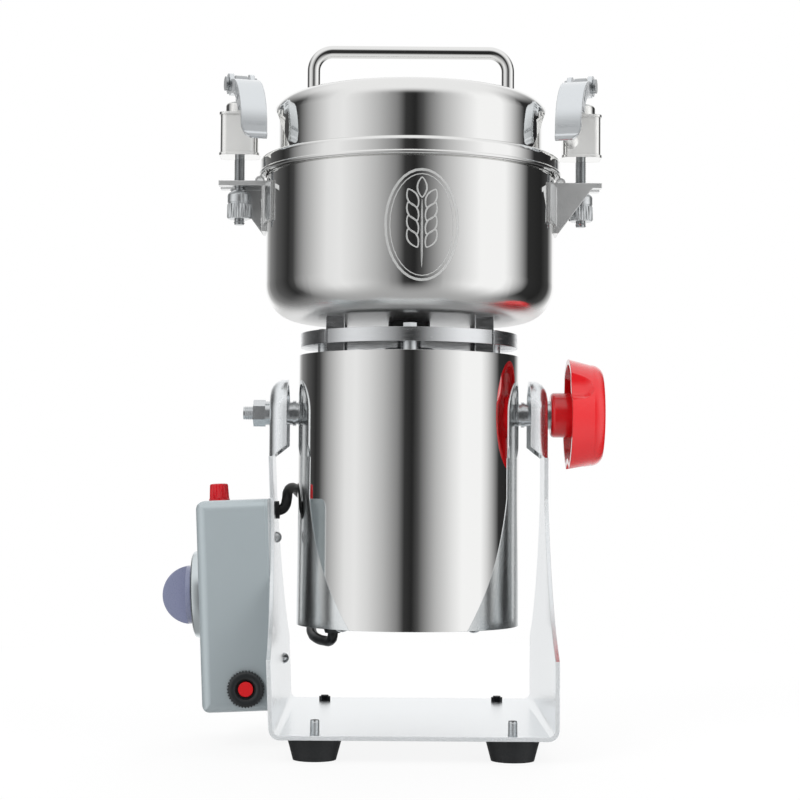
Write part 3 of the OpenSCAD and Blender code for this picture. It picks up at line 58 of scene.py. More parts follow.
# Camera: a long lens low in front of the mill, a little to its left, as in a plain catalogue picture.
# It looks up slightly, so the bowl is seen from below its rim and the base plate from above.
camera_distance = 1.2
camera_turn = math.radians(0.5)
camera_height = 0.155
camera_pitch = math.radians(2.68)
camera_roll = math.radians(0.4)
camera_data = bpy.data.cameras.new("camera")
camera_data.lens = 86.6
camera_data.sensor_width = 36
camera = bpy.data.objects.new("camera", camera_data)
bpy.context.scene.collection.objects.link(camera)
camera.location = (AXIS_X - camera_distance * math.sin(camera_turn),
                   -camera_distance * math.cos(camera_turn), camera_height)
aim_turn = camera_turn - math.radians(0.26)
camera.rotation_euler = (Matrix.Rotation(-aim_turn, 3, "Z")
                         @ Matrix.Rotation(math.pi / 2 + camera_pitch, 3, "X")
                         @ Matrix.Rotation(camera_roll, 3, "Z")).to_euler()
bpy.context.scene.camera = camera
bpy.context.scene.view_settings.view_transform = "Standard"

# Motor lead: two cores in a soft black rubber jacket, from the grommet in the left arm to the gland
# under the motor. It is long enough for the mill to tip forward, so its slack hangs behind the arm.
lead_radius = 3.2 * MM
lead_route = [(-86, 0, 141.96), (-78.9, 0, 142.27), (-76.6, 0.8, 144.6), (-75.6, 2.6, 148.8),
              (-75.2, 7, 153.5), (-73, 14, 156), (-69, 24.5, 153), (-64, 36, 146), (-59, 45, 134),
              (-56, 50, 118), (-55, 52, 102), (-56, 51, 88), (-59, 46, 76), (-61, 41, 68),
              (-60, 30, 63.5), (-56.5, 17, 61.5), (-51.5, 5, 61), (-47.5, -4, 61.9), (-46, -8, 64.9),
              (-46, -8, 69.4)]
lead_curve = bpy.data.curves.new("lead line", "CURVE")
lead_curve.dimensions = "3D"
lead_curve.resolution_u = 6
lead_line = lead_curve.splines.new("BEZIER")
lead_line.bezier_points.add(len(lead_route) - 1)
for point, place in zip(lead_line.bezier_points, lead_route):
    point.handle_left_type = point.handle_right_type = "AUTO"
    point.co = Vector(place) * MM + Vector((AXIS_X, 0, 0))
lead_former = bpy.data.objects.new("lead former", lead_curve)
lead_path = [v.co.copy() for v in bpy.data.meshes.new_from_object(lead_former).vertices]
lead_curve.bevel_depth = lead_radius
lead_curve.bevel_resolution = 5
lead_curve.use_fill_caps = True
lead = bpy.data.objects.new("motor_lead_jacket", bpy.data.meshes.new_from_object(lead_former))
bpy.data.objects.remove(lead_former)
bpy.context.scene.collection.objects.link(lead)
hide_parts("motor_lead")
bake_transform(lead)


def linear(hex_colour):
    """An sRGB colour such as #c8cdd0 as linear RGBA."""
    parts = [int(hex_colour[i:i + 2], 16) / 255 for i in (1, 3, 5)]
    return [c / 12.92 if c <= 0.04045 else ((c + 0.055) / 1.055) ** 2.4 for c in parts] + [1]


def add(tree, kind, settings=None, **links):
    """Adds a node. A link names a socket: a tuple is (node, output), anything else its value."""
    node = tree.nodes.new(kind)
    for key, value in (settings or {}).items():
        setattr(node, key, value)
    for name, value in links.items():
        socket = node.inputs[int(name[1:])] if name[0] == "i" and name[1:].isdigit() else \
            node.inputs[name.replace("_", " ")]
        if isinstance(value, tuple) and hasattr(value[0], "outputs"):
            tree.links.new(value[0].outputs[value[1]], socket)
        else:
            socket.default_value = value
    return node


def finish(name, colour, rough, metallic=0.0, ior=1.5, grain=1.0, spread=0.04, relief=0.0, edge=0.3,
           stretch=(1, 1, 1)):
    """A material: grain is its size and relief its depth, edge the radius of worn edges, all in mm.

    The grain makes the roughness uneven by the spread.
    """
    made = bpy.data.materials.new(name)
    made.use_nodes = True
    tree = made.node_tree
    shader = tree.nodes["Principled BSDF"]
    shader.inputs["Base Color"].default_value = linear(colour)
    shader.inputs["Metallic"].default_value = metallic
    if not metallic:
        shader.inputs["IOR"].default_value = ior
    place = add(tree, "ShaderNodeTexCoord")
    drawn = add(tree, "ShaderNodeMapping", Vector=(place, "Object"), Scale=stretch)
    noise = add(tree, "ShaderNodeTexNoise", Vector=(drawn, 0), Scale=1 / (grain * MM), Detail=3)
    uneven = add(tree, "ShaderNodeMapRange", Value=(noise, 0), From_Min=0.3, From_Max=0.7,
                 To_Min=rough - spread, To_Max=rough + spread)
    tree.links.new(uneven.outputs[0], shader.inputs["Roughness"])
    normal = add(tree, "ShaderNodeBevel", {"samples": 6}, Radius=edge * MM)
    if relief:
        normal = add(tree, "ShaderNodeBump", Height=(noise, 0), Distance=relief * MM, Strength=1.0,
                     Normal=(normal, 0))
    tree.links.new(normal.outputs[0], shader.inputs["Normal"])
    return made


def shader_of(made):
    """A material's main shader."""
    return made.node_tree.nodes["Principled BSDF"]


def clear_coat(made, weight, rough):
    """Lays a clear gloss over a material."""
    shader_of(made).inputs["Coat Weight"].default_value = weight
    shader_of(made).inputs["Coat Roughness"].default_value = rough


def mottle(made, first, second, low, high):
    """Lets the colour run from first to second with the grain, between two of its values."""
    tree = made.node_tree
    share = add(tree, "ShaderNodeMapRange", Value=(tree.nodes["Noise Texture"], 0), From_Min=low,
                From_Max=high)
    mixed = add(tree, "ShaderNodeMix", {"data_type": "RGBA"}, i0=(share, 0), i6=linear(first),
                i7=linear(second))
    tree.links.new(mixed.outputs[2], shader_of(made).inputs["Base Color"])


def painted_facing_shade(made, edges, flats):
    """Painted light and shade: faces square to the front or back get less metallic and read pale, darker
    round their edges.
    """
    tree = made.node_tree
    place = add(tree, "ShaderNodeTexCoord")
    facing = add(tree, "ShaderNodeSeparateXYZ", Vector=(place, "Normal"))
    size = add(tree, "ShaderNodeMath", {"operation": "ABSOLUTE"}, i0=(facing, "Y"))
    share = add(tree, "ShaderNodeMapRange", Value=(size, 0), From_Min=0.85, From_Max=0.99,
                To_Min=edges, To_Max=flats)
    tree.links.new(share.outputs[0], shader_of(made).inputs["Metallic"])


def coat_nodes(made, *nodes):
    """Gives whole CAD nodes a material."""
    for name in nodes:
        for material_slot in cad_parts[name].material_slots:
            material_slot.material = made


def piece(name, bm, made, body, *replaced):
    """Turns a bmesh into a piece that rides on a body, smooth except at its edges."""
    bmesh.ops.recalc_face_normals(bm, faces=bm.faces)
    mesh = bpy.data.meshes.new(name)
    bm.to_mesh(mesh)
    bm.free()
    mesh.materials.append(made)
    mesh.shade_smooth()
    mesh.set_sharp_from_angle(angle=math.radians(32))
    made_piece = bpy.data.objects.new(name, mesh)
    bpy.context.scene.collection.objects.link(made_piece)
    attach(made_piece, body)
    if replaced:
        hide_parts(*replaced)
    return made_piece


jacket = finish("black rubber jacket", "#151617", 0.42, grain=1.5, relief=0.01)
lead.data.materials.append(jacket)
lead.data.shade_smooth()

# Studio: an even white room with black flags behind the camera and at both sides, which a mirror
# finish shows as soft upright bands. The camera, metal and glass see it; other light is plain white.
world = bpy.data.worlds.new("studio")
bpy.context.scene.world = world
world.use_nodes = True
tree = world.node_tree
tree.nodes.clear()
direction = add(tree, "ShaderNodeTexCoord")
split = add(tree, "ShaderNodeSeparateXYZ", Vector=(direction, "Generated"))
flip = add(tree, "ShaderNodeMath", {"operation": "MULTIPLY"}, i0=(split, "Y"), i1=-1.0)
azimuth = add(tree, "ShaderNodeMath", {"operation": "ARCTAN2"}, i0=(split, "X"), i1=(flip, 0))
share = add(tree, "ShaderNodeMapRange", Value=(azimuth, 0), From_Min=-math.pi, From_Max=math.pi)
bands = add(tree, "ShaderNodeValToRGB", Fac=(share, 0))
# A stop is a direction in degrees, counted to the right from the camera's side, and the grey there.
flags = [(-180, 1.0), (-162, 1.0), (-154, 0.5), (-145, 0.24), (-130, 0.1), (-112, 0.03),
         (-105, 0.06), (-92, 0.38), (-80, 0.62), (-68, 0.85), (-56, 0.9), (-42, 0.76), (-26, 0.52),
         (-11, 0.25), (-4, 0.04), (4, 0.02), (10, 0.08), (28, 0.52), (45, 0.84), (57, 1.03),
         (80, 1.03), (89, 0.74), (101, 0.25), (107, 0.03), (127, 0.02), (142, 0.06), (152, 0.5),
         (160, 1.0)]
flag_turn = -0.5
ramp = bands.color_ramp
while len(ramp.elements) > 1:
    ramp.elements.remove(ramp.elements[-1])
for i, (angle, value) in enumerate(flags):
    at = (angle + flag_turn + 180) / 360 if i else 0
    element = ramp.elements[0] if i == 0 else ramp.elements.new(at)
    element.position = at
    element.color = (value, value, value, 1)
overhead = add(tree, "ShaderNodeMapRange", {"interpolation_type": "SMOOTHSTEP"},
               Value=(split, "Z"), From_Min=0.35, From_Max=0.85)
room = add(tree, "ShaderNodeMix", {"data_type": "RGBA"}, i0=(overhead, 0), i6=(bands, 0),
           i7=(0.92, 0.92, 0.92, 1))
underfoot = add(tree, "ShaderNodeMapRange", {"interpolation_type": "SMOOTHSTEP"},
                Value=(split, "Z"), From_Min=-0.4, From_Max=-0.97)
room = add(tree, "ShaderNodeMix", {"data_type": "RGBA"}, i0=(underfoot, 0), i6=(room, 2),
           i7=(0.42, 0.42, 0.42, 1))
rays = add(tree, "ShaderNodeLightPath")
soft_light = add(tree, "ShaderNodeBackground", Color=(1, 1, 1, 1), Strength=0.75)
reflected = add(tree, "ShaderNodeBackground", Color=(room, 2), Strength=1.0)
backdrop = add(tree, "ShaderNodeBackground", Color=(1, 1, 1, 1), Strength=1.0)
shiny = add(tree, "ShaderNodeMath", {"operation": "MAXIMUM"}, i0=(rays, "Is Glossy Ray"),
            i1=(rays, "Is Transmission Ray"))
mixed = add(tree, "ShaderNodeMixShader", i0=(shiny, 0), i1=(soft_light, 0), i2=(reflected, 0))
mixed = add(tree, "ShaderNodeMixShader", i0=(rays, "Is Camera Ray"), i1=(mixed, 0), i2=(backdrop, 0))
add(tree, "ShaderNodeOutputWorld", Surface=(mixed, 0))

# Lamps: a large soft key from the upper left, a fill from the right and one from above and behind.
for name, place, power, size in (("key", (-1.1, -1.3, 1.5), 16, 0.9), ("fill", (1.3, -1.0, 0.9), 8, 1.0),
                                 ("rear", (0.2, 1.2, 1.4), 10, 0.9)):
    lamp_data = bpy.data.lights.new(name, "AREA")
    lamp_data.energy = power
    lamp_data.size = size
    lamp = bpy.data.objects.new(name, lamp_data)
    lamp.location = place
    lamp.rotation_euler = (Vector((AXIS_X, 0, 0.2)) - Vector(place)).to_track_quat("-Z", "Y").to_euler()
    lamp.visible_glossy = False
    lamp.visible_camera = False
    bpy.context.scene.collection.objects.link(lamp)

# Floor: a pale studio floor, almost white to the camera, which keeps the mill's soft shadow. Metal
# doesn't show it: the darker foot of the room is there instead.
bm = bmesh.new()
bmesh.ops.create_circle(bm, cap_ends=True, segments=96, radius=0.75)
floor_mesh = bpy.data.meshes.new("floor")
bm.to_mesh(floor_mesh)
bm.free()
floor = bpy.data.objects.new("floor", floor_mesh)
bpy.context.scene.collection.objects.link(floor)
floor.visible_glossy = False
floor_paint = finish("white studio floor", "#f2f2f2", 0.6, grain=4)
tree = floor_paint.node_tree
rays = add(tree, "ShaderNodeLightPath")
glow = add(tree, "ShaderNodeEmission", Color=(1, 1, 1, 1), Strength=1.0)
show = add(tree, "ShaderNodeMath", {"operation": "MULTIPLY"}, i0=(rays, "Is Camera Ray"), i1=0.88)
both = add(tree, "ShaderNodeMixShader", i0=(show, 0), i1=(shader_of(floor_paint), 0), i2=(glow, 0))
tree.links.new(both.outputs[0], tree.nodes["Material Output"].inputs["Surface"])
floor_mesh.materials.append(floor_paint)

# Stand: 2.5 mm sheet steel, blanked, dished at the ears, folded to a U and powder coated. The coat is
# a satin silver white full of aluminium flake, with a fine fleck of a tenth of a millimetre, drawn at
# 0.6 mm so that it shows.
coat = finish("silver flake powder coat", "#e9edf0", 0.24, 0.96, grain=0.6, relief=0.002, edge=0.7)
mottle(coat, "#dbe1e5", "#f2f5f7", 0.3, 0.5)
# Painted light and shade: the coat is less metallic on faces square to the front or back, so they read
# pale, and darker round their edges.
painted_facing_shade(coat, 0.96, 0.4)
coat_nodes(coat, "u_frame")

# Feet: moulded black rubber cones, matt, with a fine mould texture.
foot_rubber = finish("black moulded rubber", "#1d1f21", 0.62, grain=0.8, spread=0.1, relief=0.02,
                     edge=0.8)
coat_nodes(foot_rubber, "rubber_feet")


def turned_ring(section, steps):
    """A bmesh turned about Z from a closed section of points, each a radius and a height in mm."""
    bm = bmesh.new()
    corners = [bm.verts.new((r * MM, 0, z * MM)) for r, z in section]
    rim = [bm.edges.new((a, b)) for a, b in zip(corners, corners[1:] + corners[:1])]
    bmesh.ops.spin(bm, geom=corners + rim, cent=(0, 0, 0), axis=(0, 0, 1), angle=2 * math.pi, steps=steps,
                   use_merge=True)
    return bm


def thread(bm, foot, along, radius, height, length, pitch):
    """Adds a screw thread to a rod, from its foot along a direction. The last four are in mm."""
    steps = 20
    turns = max(2, int(length / pitch))
    root = radius - 0.15
    crest = radius + height
    rib = [bm.verts.new((r * MM, 0, z * pitch * MM)) for r, z in
           ((root, 0), (root, 0.95), (crest, 0.53), (crest, 0.42))]
    face = bm.faces.new(rib)
    bmesh.ops.spin(bm, geom=[face] + face.edges[:] + rib, cent=(0, 0, 0), axis=(0, 0, 1),
                   dvec=(0, 0, pitch * MM / steps), angle=2 * math.pi * (turns - 1),
                   steps=steps * (turns - 1), use_merge=False)
    loose = [e for e in bm.edges if len(e.link_faces) == 1]
    bmesh.ops.holes_fill(bm, edges=loose)
    new = [v for v in bm.verts if not v.tag]
    turn = Vector((0, 0, 1)).rotation_difference(Vector(along)).to_matrix().to_4x4()
    bmesh.ops.transform(bm, matrix=Matrix.Translation(Vector(foot)) @ turn, verts=new)
    for v in new:
        v.tag = True


# Foot screws: M5, zinc plated. The front ones stand up from the plate as bare threads, the rear ones
# end in flat blackened nuts.
bright = finish("bright zinc plate", "#d9dcde", 0.16, 0.8, grain=2, spread=0.04, edge=0.06)
blackened = finish("blackened steel", "#3a3c3e", 0.35, 1.0, grain=2, spread=0.08)
coat_nodes(blackened, "foot_fasteners")
screw_low, screw_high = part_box("foot_fasteners")
plate_top = 15.5 * MM
head_r = 4.5 * MM
core_r = 2.56 * MM
bm = bmesh.new()
for x in (screw_low.x, screw_high.x):
    screw_x = x + (head_r if x < AXIS_X else -head_r)
    screw_y = screw_low.y + head_r
    core = Matrix.Translation((screw_x, screw_y, (plate_top + screw_high.z) / 2))
    bmesh.ops.create_cone(bm, cap_ends=True, segments=24, radius1=core_r, radius2=core_r,
                          depth=screw_high.z - plate_top, matrix=core)
    for v in bm.verts:
        v.tag = True
    thread(bm, (screw_x, screw_y, plate_top), (0, 0, 1), radius=2.6, height=0.3,
           length=(screw_high.z - plate_top) / MM, pitch=0.9)
piece("front_screw_threads", bm, bright, "stand")

# Control box: pressed sheet steel with a smooth blue-grey enamel, baked to a soft gloss, and the back
# plate behind it, screwed to the arm.
enamel = finish("blue-grey enamel", "#aeb8bc", 0.22, 0.25, grain=6, spread=0.02, edge=0.8)
clear_coat(enamel, 0.6, 0.06)
coat_nodes(enamel, "control_box", "control_box_back")
coat_nodes(bright, "box_fasteners")

# Timer dial: a turned and chromed bezel with a flat ring, on which the minutes are printed in black.
# It leans with the arm that carries the box.
lean = Matrix.Rotation(math.radians(-2.5), 4, "Y")
dial_low, dial_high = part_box("timer_dial")
dial_centre = (dial_low + dial_high) / 2
dial_r = (dial_high.y - dial_low.y) / 2 / MM
dial_place = Matrix.Translation(dial_centre) @ lean @ Matrix.Rotation(-math.pi / 2, 4, "Y")
chrome = finish("chromed brass", "#d5dde0", 0.1, 1.0, grain=3, spread=0.03, edge=0.4)
dial_face = 2.85
bm = turned_ring([(3.4, -3.25), (dial_r, -3.25), (dial_r, 0.6), (dial_r - 0.6, 2.3), (dial_r - 1.7, 3.15),
                  (dial_r - 2.3, 3.25), (dial_r - 2.8, dial_face), (19, dial_face), (18.6, 2.5),
                  (3.4, 2.5)], 96)
bmesh.ops.transform(bm, matrix=dial_place, verts=bm.verts)
piece("timer_bezel", bm, chrome, "stand", "timer_dial")
ink = finish("black printing ink", "#17181a", 0.5, grain=0.6)
bm = bmesh.new()
marks = 31
mark_span = math.radians(300)
for i in range(marks):
    long_mark = i % 5 == 0
    size = ((1.1 if long_mark else 0.5) * MM, (3.6 if long_mark else 2) * MM, 0.06 * MM)
    spot = Matrix.Rotation(mark_span * (i / (marks - 1) - 0.5) - math.pi / 2, 4, "Z") \
        @ Matrix.Translation((0, (21.8 if long_mark else 22.4) * MM, dial_face * MM))
    bmesh.ops.create_cube(bm, size=1, matrix=dial_place @ spot @ Matrix.Diagonal(size + (1,)))
piece("timer_marks", bm, ink, "stand")

# Timer knob: moulded in violet-grey plastic with a slight sheen. A thin white strip along the upper outer
# edge of its grip is a painted highlight.
knob_plastic = finish("violet-grey moulded plastic", "#868ba6", 0.28, grain=0.7, spread=0.02, edge=1.2)
clear_coat(knob_plastic, 0.4, 0.1)
coat_nodes(knob_plastic, "timer_knob")
# Painted highlight: a white strip laid on the rim of the grip, over the upper outer part of its curve.
painted_grip_highlight = finish("white painted highlight", "#eceef0", 0.4, grain=1)
grip_r = 18.05
grip_centre = 4.55
highlight_rise = 34
highlight_span = 52
bm = bmesh.new()
bmesh.ops.create_grid(bm, x_segments=1, y_segments=12, size=0.5)
for v in bm.verts:
    rise = math.radians(highlight_rise + highlight_span * v.co.y)
    v.co = (grip_r * MM * math.sin(rise), v.co.x * MM, (grip_centre + grip_r * math.cos(rise)) * MM)
bmesh.ops.solidify(bm, geom=bm.faces[:], thickness=0.08 * MM)
bmesh.ops.transform(bm, matrix=dial_place, verts=bm.verts)
piece("knob_painted_highlight", bm, painted_grip_highlight, "timer_knob")

# Pilot lamp: a ribbed red acrylic lens pressed into the top of the box.
acrylic = finish("red transparent acrylic", "#e3202b", 0.08, ior=1.49, grain=2, spread=0.02, edge=0.2)
shader_of(acrylic).inputs["Transmission Weight"].default_value = 0.45
lens_low, lens_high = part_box("lamp_lens")
lens_centre = (lens_low + lens_high) / 2
lens_h = 10.5
lens_ribs = 24
bm = bmesh.new()
lens_section = [(6.5, 0), (6.5, 0.8), (6.1, 1.2), (5.65, 9.3), (5.2, 10.1), (3.2, lens_h), (0, lens_h)]
section = [bm.verts.new((r * MM, 0, z * MM)) for r, z in lens_section]
side_line = [bm.edges.new((a, b)) for a, b in zip(section, section[1:])]
bmesh.ops.spin(bm, geom=section + side_line, cent=(0, 0, 0), axis=(0, 0, 1), angle=2 * math.pi,
               steps=2 * lens_ribs, use_merge=True)
bmesh.ops.remove_doubles(bm, verts=bm.verts, dist=0.001 * MM)
bmesh.ops.holes_fill(bm, edges=[e for e in bm.edges if len(e.link_faces) == 1])
rib_in = 0.93
for v in bm.verts:
    column = round(math.atan2(v.co.y, v.co.x) / (math.pi / lens_ribs))
    if column % 2 and 1 * MM < v.co.z < 9.5 * MM:
        v.co.x *= rib_in
        v.co.y *= rib_in
bmesh.ops.transform(bm, matrix=Matrix.Translation(lens_centre) @ lean
                    @ Matrix.Translation((0, 0, -lens_h / 2 * MM)), verts=bm.verts)
piece("lamp_ribbed_lens", bm, acrylic, "stand", "lamp_lens")

# Overload breaker: its knurled black collar, screwed on from outside, and the red button in it.
black = finish("black moulded plastic", "#222527", 0.38, grain=1, relief=0.006, edge=0.4)
coat_nodes(black, "timer_body", "lamp_body", "reset_breaker", "mains_gland", "motor_base_cover",
           "cooling_fan")
collar_low, collar_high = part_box("reset_collar")
collar_centre = (collar_low + collar_high) / 2
collar_r = (collar_high.z - collar_low.z) / 2 / MM
collar_h = 4
teeth = 36
tooth_in = 0.91
bm = turned_ring([(6.2, 0.9), (6.2, 3.4), (7.2, collar_h), (collar_r - 2.2, collar_h),
                  (collar_r - 0.9, 3.6), (collar_r, 2.7), (collar_r, 0), (5.1, 0), (5.1, 0.9)], 2 * teeth)
for v in bm.verts:
    column = round(math.atan2(v.co.y, v.co.x) / (math.pi / teeth))
    if column % 2 and v.co.xy.length > (collar_r - 1) * MM:
        v.co.x *= tooth_in
        v.co.y *= tooth_in
bmesh.ops.transform(bm, matrix=Matrix.Translation((collar_centre.x, collar_low.y + collar_h * MM,
                                                   collar_centre.z))
                    @ Matrix.Rotation(math.pi / 2, 4, "X"), verts=bm.verts)
piece("breaker_knurled_collar", bm, black, "stand", "reset_collar")

# Red plastic: reset button and handwheel, moulded in one glossy colour.
red = finish("red moulded plastic", "#e0161e", 0.2, grain=4, spread=0.01, edge=0.9)
clear_coat(red, 0.8, 0.08)
coat_nodes(red, "handwheel", "reset_button")
grommet_rubber = finish("black rubber", "#18191b", 0.5, grain=1, relief=0.01)
coat_nodes(grommet_rubber, "arm_grommet", "shaft_seal", "motor_lead")

# Bowl, lid, handle and motor tube: stainless steel, deep drawn or rolled, polished to a mirror. The
# polish leaves a very slight wave, which bends the bands of the room.
mirror = finish("mirror-polished stainless steel", "#efefee", 0.04, 1.0, grain=28, spread=0.012,
                relief=0.012, edge=0.35)
coat_nodes(mirror, "lid", "lid_handle", "motor_housing")

# Bowl: the same steel, with its underside, round the foot, brushed to a satin.
bowl_steel = finish("mirror-polished deep-drawn steel", "#efefee", 0.04, 1.0, grain=28, spread=0.012,
                    relief=0.012, edge=0.35)
satin_z = 262 * MM
mirror_z = 272 * MM
tree = bowl_steel.node_tree
spot = add(tree, "ShaderNodeTexCoord")
height = add(tree, "ShaderNodeSeparateXYZ", Vector=(spot, "Object"))
satin_foot = add(tree, "ShaderNodeMapRange", {"interpolation_type": "SMOOTHSTEP"}, Value=(height, "Z"),
                 From_Min=satin_z, From_Max=mirror_z, To_Min=0.36, To_Max=0.04)
tree.links.new(satin_foot.outputs[0], shader_of(bowl_steel).inputs["Roughness"])
coat_nodes(bowl_steel, "bowl")

# Lid lip: the skirt's edge is rolled in to a narrow hem that closes the gap to the bowl.
lid_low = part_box("lid")[0]
bm = turned_ring([(90.6, 0.35), (93.2, 0.35), (93.2, 1.1), (90.6, 1.1)], 128)
bmesh.ops.translate(bm, vec=(AXIS_X, 0, lid_low.z), verts=bm.verts)
piece("lid_hem_lip", bm, mirror, "lid")

# Etched emblem: a plain oval with an ear of grain, burnt dull into the bowl's polish by a laser, so
# it is flush to the touch and shows as a pale matt line.
etched = finish("laser-etched steel", "#d4d5d4", 0.5, 0.6, grain=0.4, relief=0.002)
bowl_low, bowl_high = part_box("bowl")
bowl_r = (bowl_high.y - bowl_low.y) / 2
emblem_w = 44 * MM
emblem_h = 66 * MM
line_gap = 6 * MM
emblem_x = 6.2 * MM
emblem_z = 309 * MM


def drawn_ring(bm, width, height, line, at, turn=0.0, point=0.0):
    """Adds a flat oval line in the XZ plane; point draws its ends out to tips, as on a grain."""
    loops = []
    for inset in (0, line):
        made_loop = bmesh.ops.create_circle(bm, segments=36, radius=1)["verts"]
        for v in made_loop:
            narrow = 1 - point * abs(v.co.y) ** 2
            v.co = (v.co.x * (width / 2 - inset) * narrow, 0, v.co.y * (height / 2 - inset))
        loops += list({e for v in made_loop for e in v.link_edges})
        spot = Matrix.Translation(at) @ Matrix.Rotation(turn, 4, "Y")
        bmesh.ops.transform(bm, matrix=spot, verts=made_loop)
    bmesh.ops.bridge_loops(bm, edges=loops)


bm = bmesh.new()
drawn_ring(bm, emblem_w, emblem_h, 1.5 * MM, (0, 0, 0))
drawn_ring(bm, emblem_w - line_gap, emblem_h - line_gap, 0.6 * MM, (0, 0, 0))
for row in range(4):
    for side in (-1, 1):
        drawn_ring(bm, 7 * MM, 12.6 * MM, 1 * MM, (side * 5.4 * MM, 0, (row * 7.8 - 8) * MM),
                   side * math.radians(28), 0.45)
drawn_ring(bm, 6.6 * MM, 12.6 * MM, 1 * MM, (0, 0, 21.8 * MM), 0, 0.45)
drawn_ring(bm, 1.3 * MM, 40 * MM, 0.55 * MM, (0, 0, -5 * MM))
bmesh.ops.recalc_face_normals(bm, faces=bm.faces)
bmesh.ops.solidify(bm, geom=bm.faces[:], thickness=0.06 * MM)
for v in bm.verts:
    turn = (v.co.x + emblem_x) / bowl_r
    out = bowl_r + 0.03 * MM + (0.03 * MM if v.co.y < 0 else -0.03 * MM)
    v.co = (AXIS_X + out * math.sin(turn), -out * math.cos(turn), v.co.z + emblem_z)
piece("etched_grain_emblem", bm, etched, "mill")

# Flange and legs: aluminium plate, turned and milled, left bright with a fine cutting grain.
turned = finish("bright turned aluminium", "#e4e6e8", 0.22, 1.0, grain=1.5, spread=0.06, edge=0.5,
                stretch=(0.15, 0.15, 1))
coat_nodes(turned, "motor_flange", "bowl_legs")
cast_grey = finish("sand-cast aluminium", "#b9bdbf", 0.5, 1.0, grain=1.2, spread=0.1, relief=0.03)
coat_nodes(cast_grey, "bearing_carriers", "pivot_bosses")

# Fasteners and pivot: bright zinc plate on M8, M6 and M5 steel parts, and a thread on the left stud's
# bare end.
coat_nodes(bright, "motor_screws", "left_pivot_stud", "left_pivot_nut", "pivot_spacers",
           "handwheel_stud", "bowl_screws", "handle_screws")
stud_low, stud_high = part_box("left_pivot_stud")
bare_end = 7 * MM
bm = bmesh.new()
thread(bm, (stud_low.x + bare_end, 0, (stud_low.z + stud_high.z) / 2), (-1, 0, 0), radius=4, height=0.25,
       length=6.6, pitch=1.25)
piece("left_stud_thread", bm, bright, "mill")

# Latch housings: folded steel sheet with bright nickel plate, slightly yellow and wavy.
nickel = finish("bright nickel plate", "#f4f4f2", 0.12, 1.0, grain=12, spread=0.03, relief=0.03,
                edge=0.8)
# Painted light and shade: the plate is less metallic on faces square to the front or back, so they read
# pale, and darker round their edges.
painted_facing_shade(nickel, 1.0, 0.3)
coat_nodes(nickel, "left_latch_housing", "right_latch_housing")

# Latch brackets: thicker folded sheet with its gusset, of the same plate over a less polished face.
plated = finish("nickel-plated folded steel", "#e3e4e4", 0.2, 0.9, grain=9, spread=0.06, relief=0.05,
                edge=0.8)
# Painted light and shade: the brackets' plate is less metallic on faces square to the front or back, so
# they read pale, and darker round their edges.
painted_facing_shade(plated, 0.95, 0.62)
coat_nodes(plated, "latch_brackets")

# Latch levers: pressed steel bands with a satin nickel finish and a row of grip notches at the tip.
satin = finish("satin nickel plate", "#e4e8eb", 0.17, 0.95, grain=6, spread=0.02, edge=0.9)
coat_nodes(satin, "left_latch_lever", "right_latch_lever")
lever_turn = math.radians(16)
lever_centre = (8 * MM, 0, -34 * MM)
lever_r = 35 * MM
notch_step = 1.05 * MM
hinge_z = 409 * MM
latch_reach = 107 * MM
for side, name in ((-1, "left"), (1, "right")):
    bm = bmesh.new()
    hinge = Matrix.Translation((AXIS_X + side * latch_reach, 0, hinge_z)) \
        @ Matrix.Rotation(-math.pi / 2 - side * lever_turn, 4, "Z")
    for k in range(-6, 7):
        notch = Matrix.Translation((lever_centre[0], k * notch_step, lever_centre[2])) \
            @ Matrix.Rotation(math.radians(-3), 4, "Y") @ Matrix.Translation((lever_r, 0, 0)) \
            @ Matrix.Diagonal((0.5 * MM, 0.45 * MM, 2.2 * MM, 1))
        bmesh.ops.create_cube(bm, size=1, matrix=hinge @ notch)
    piece(name + "_lever_notches", bm, satin, name + "_lever")

# Latch rods: M6 threaded steel, darker than the plated parts, seen between housing and bracket and
# below the nut.
rod_steel = finish("oiled thread-rolled steel", "#b4b7b9", 0.2, 0.9, grain=1, edge=0.04)
coat_nodes(rod_steel, "left_latch_rod", "right_latch_rod")
nut_low, nut_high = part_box("left_adjust_nut")
rod_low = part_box("left_latch_rod")[0]
housing_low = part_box("left_latch_housing")[0]
plate_high = nut_high.z + 3.4 * MM
rod_bevel = 0.3
rod_gap = 0.5
rod_thread = {"radius": 3, "height": 0.45, "pitch": 1.2}
for side, name in ((-1, "left"), (1, "right")):
    bm = bmesh.new()
    rod_x = AXIS_X + side * latch_reach
    thread(bm, (rod_x, 0, plate_high), (0, 0, 1), length=(housing_low.z - plate_high) / MM - rod_bevel,
           **rod_thread)
    thread(bm, (rod_x, 0, rod_low.z + rod_bevel * MM), (0, 0, 1),
           length=(nut_low.z - rod_low.z) / MM - rod_gap, **rod_thread)
    piece(name + "_rod_thread", bm, rod_steel, name + "_latch")

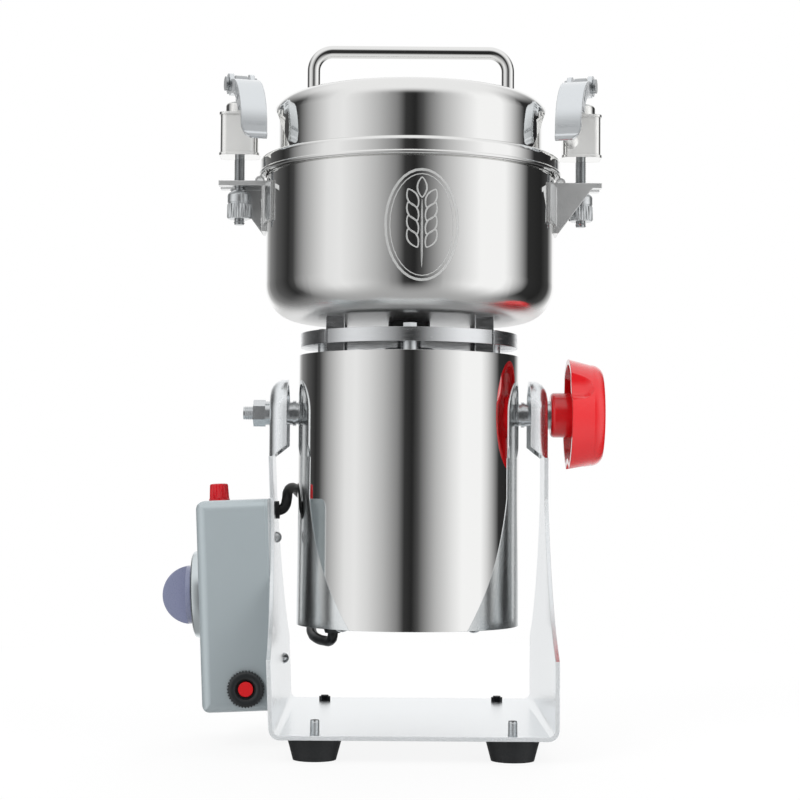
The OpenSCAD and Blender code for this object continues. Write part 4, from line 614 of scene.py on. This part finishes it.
# Adjusting nuts: turned steel with a domed seat, a smooth collar and a coarse straight knurl below.
knurls = 26
knurl_in = 0.93
knurl_low = -18 * MM
knurl_high = -9.8 * MM
knurl_foot = 7.3 * MM
nut_section = [(3.12, -0.6), (5, -1.42), (6.5, -2.57), (7.2, -3.4), (7.45, -4.2), (7.45, -8.6),
               (7.1, -9), (7.1, -9.5), (7.65, -9.9), (7.65, -17.8), (7.1, -18.7), (6.4, -19),
               (3.12, -19)]
for side, name in ((-1, "left"), (1, "right")):
    bm = turned_ring(nut_section, 3 * knurls)
    for v in bm.verts:
        column = round(math.atan2(v.co.y, v.co.x) / (2 * math.pi / (3 * knurls)))
        if column % 3 == 0 and knurl_low < v.co.z < knurl_high and v.co.xy.length > knurl_foot:
            v.co.x *= knurl_in
            v.co.y *= knurl_in
    bmesh.ops.translate(bm, vec=(AXIS_X + side * latch_reach, 0, nut_high.z), verts=bm.verts)
    piece(name + "_knurled_nut", bm, bright, name + "_nut", name + "_adjust_nut")

# Cross recess of the screw in the right latch housing, pressed into its pan head: a thin dark cross laid
# on the housing, painted shade for the hollow of the recess.
recess_painted_shade = finish("painted shade of screw recess", "#2c2d2f", 0.5, 0.8, grain=1)
screw_x = AXIS_X + latch_reach - 7 * MM
screw_z = 372.5 * MM
bm = bmesh.new()
for turn in (math.radians(20), math.radians(110)):
    bar = Matrix.Translation((screw_x, housing_low.y - 0.02 * MM, screw_z)) \
        @ Matrix.Rotation(turn, 4, "Y") @ Matrix.Diagonal((4.4 * MM, 0.5 * MM, 0.9 * MM, 1))
    bmesh.ops.create_cube(bm, size=1, matrix=bar)
piece("housing_screw_recess_shade", bm, recess_painted_shade, "right_latch")

# Inside the motor and bowl: laminated cores, varnished copper, brass holders, carbon, tool steel.
laminated = finish("varnished lamination steel", "#8d8f90", 0.4, 1.0, grain=0.8, spread=0.12,
                   relief=0.05, stretch=(0.02, 0.02, 1))
coat_nodes(laminated, "stator_core", "armature_core")
copper = finish("varnished copper wire", "#b0653a", 0.35, 1.0, grain=0.9, spread=0.1, relief=0.08,
                stretch=(1, 1, 0.1))
coat_nodes(copper, "field_coils", "armature_winding", "commutator")
brass = finish("stamped brass", "#c9a558", 0.3, 1.0, grain=2)
coat_nodes(brass, "brush_holders")
carbon = finish("pressed carbon", "#2b2b2c", 0.6, grain=0.5, spread=0.1, relief=0.01)
coat_nodes(carbon, "carbon_brushes")
blade_steel = finish("ground tool steel", "#d2d5d6", 0.24, 1.0, grain=1.2, spread=0.07,
                     stretch=(0.1, 1, 1), edge=0.4)
coat_nodes(blade_steel, "rotor_shaft", "bearings", "blade_hub", "lower_blade", "upper_blade",
           "blade_nut")
silicone = finish("white silicone rubber", "#e4e3df", 0.5, grain=2)
coat_nodes(silicone, "lid_gasket")
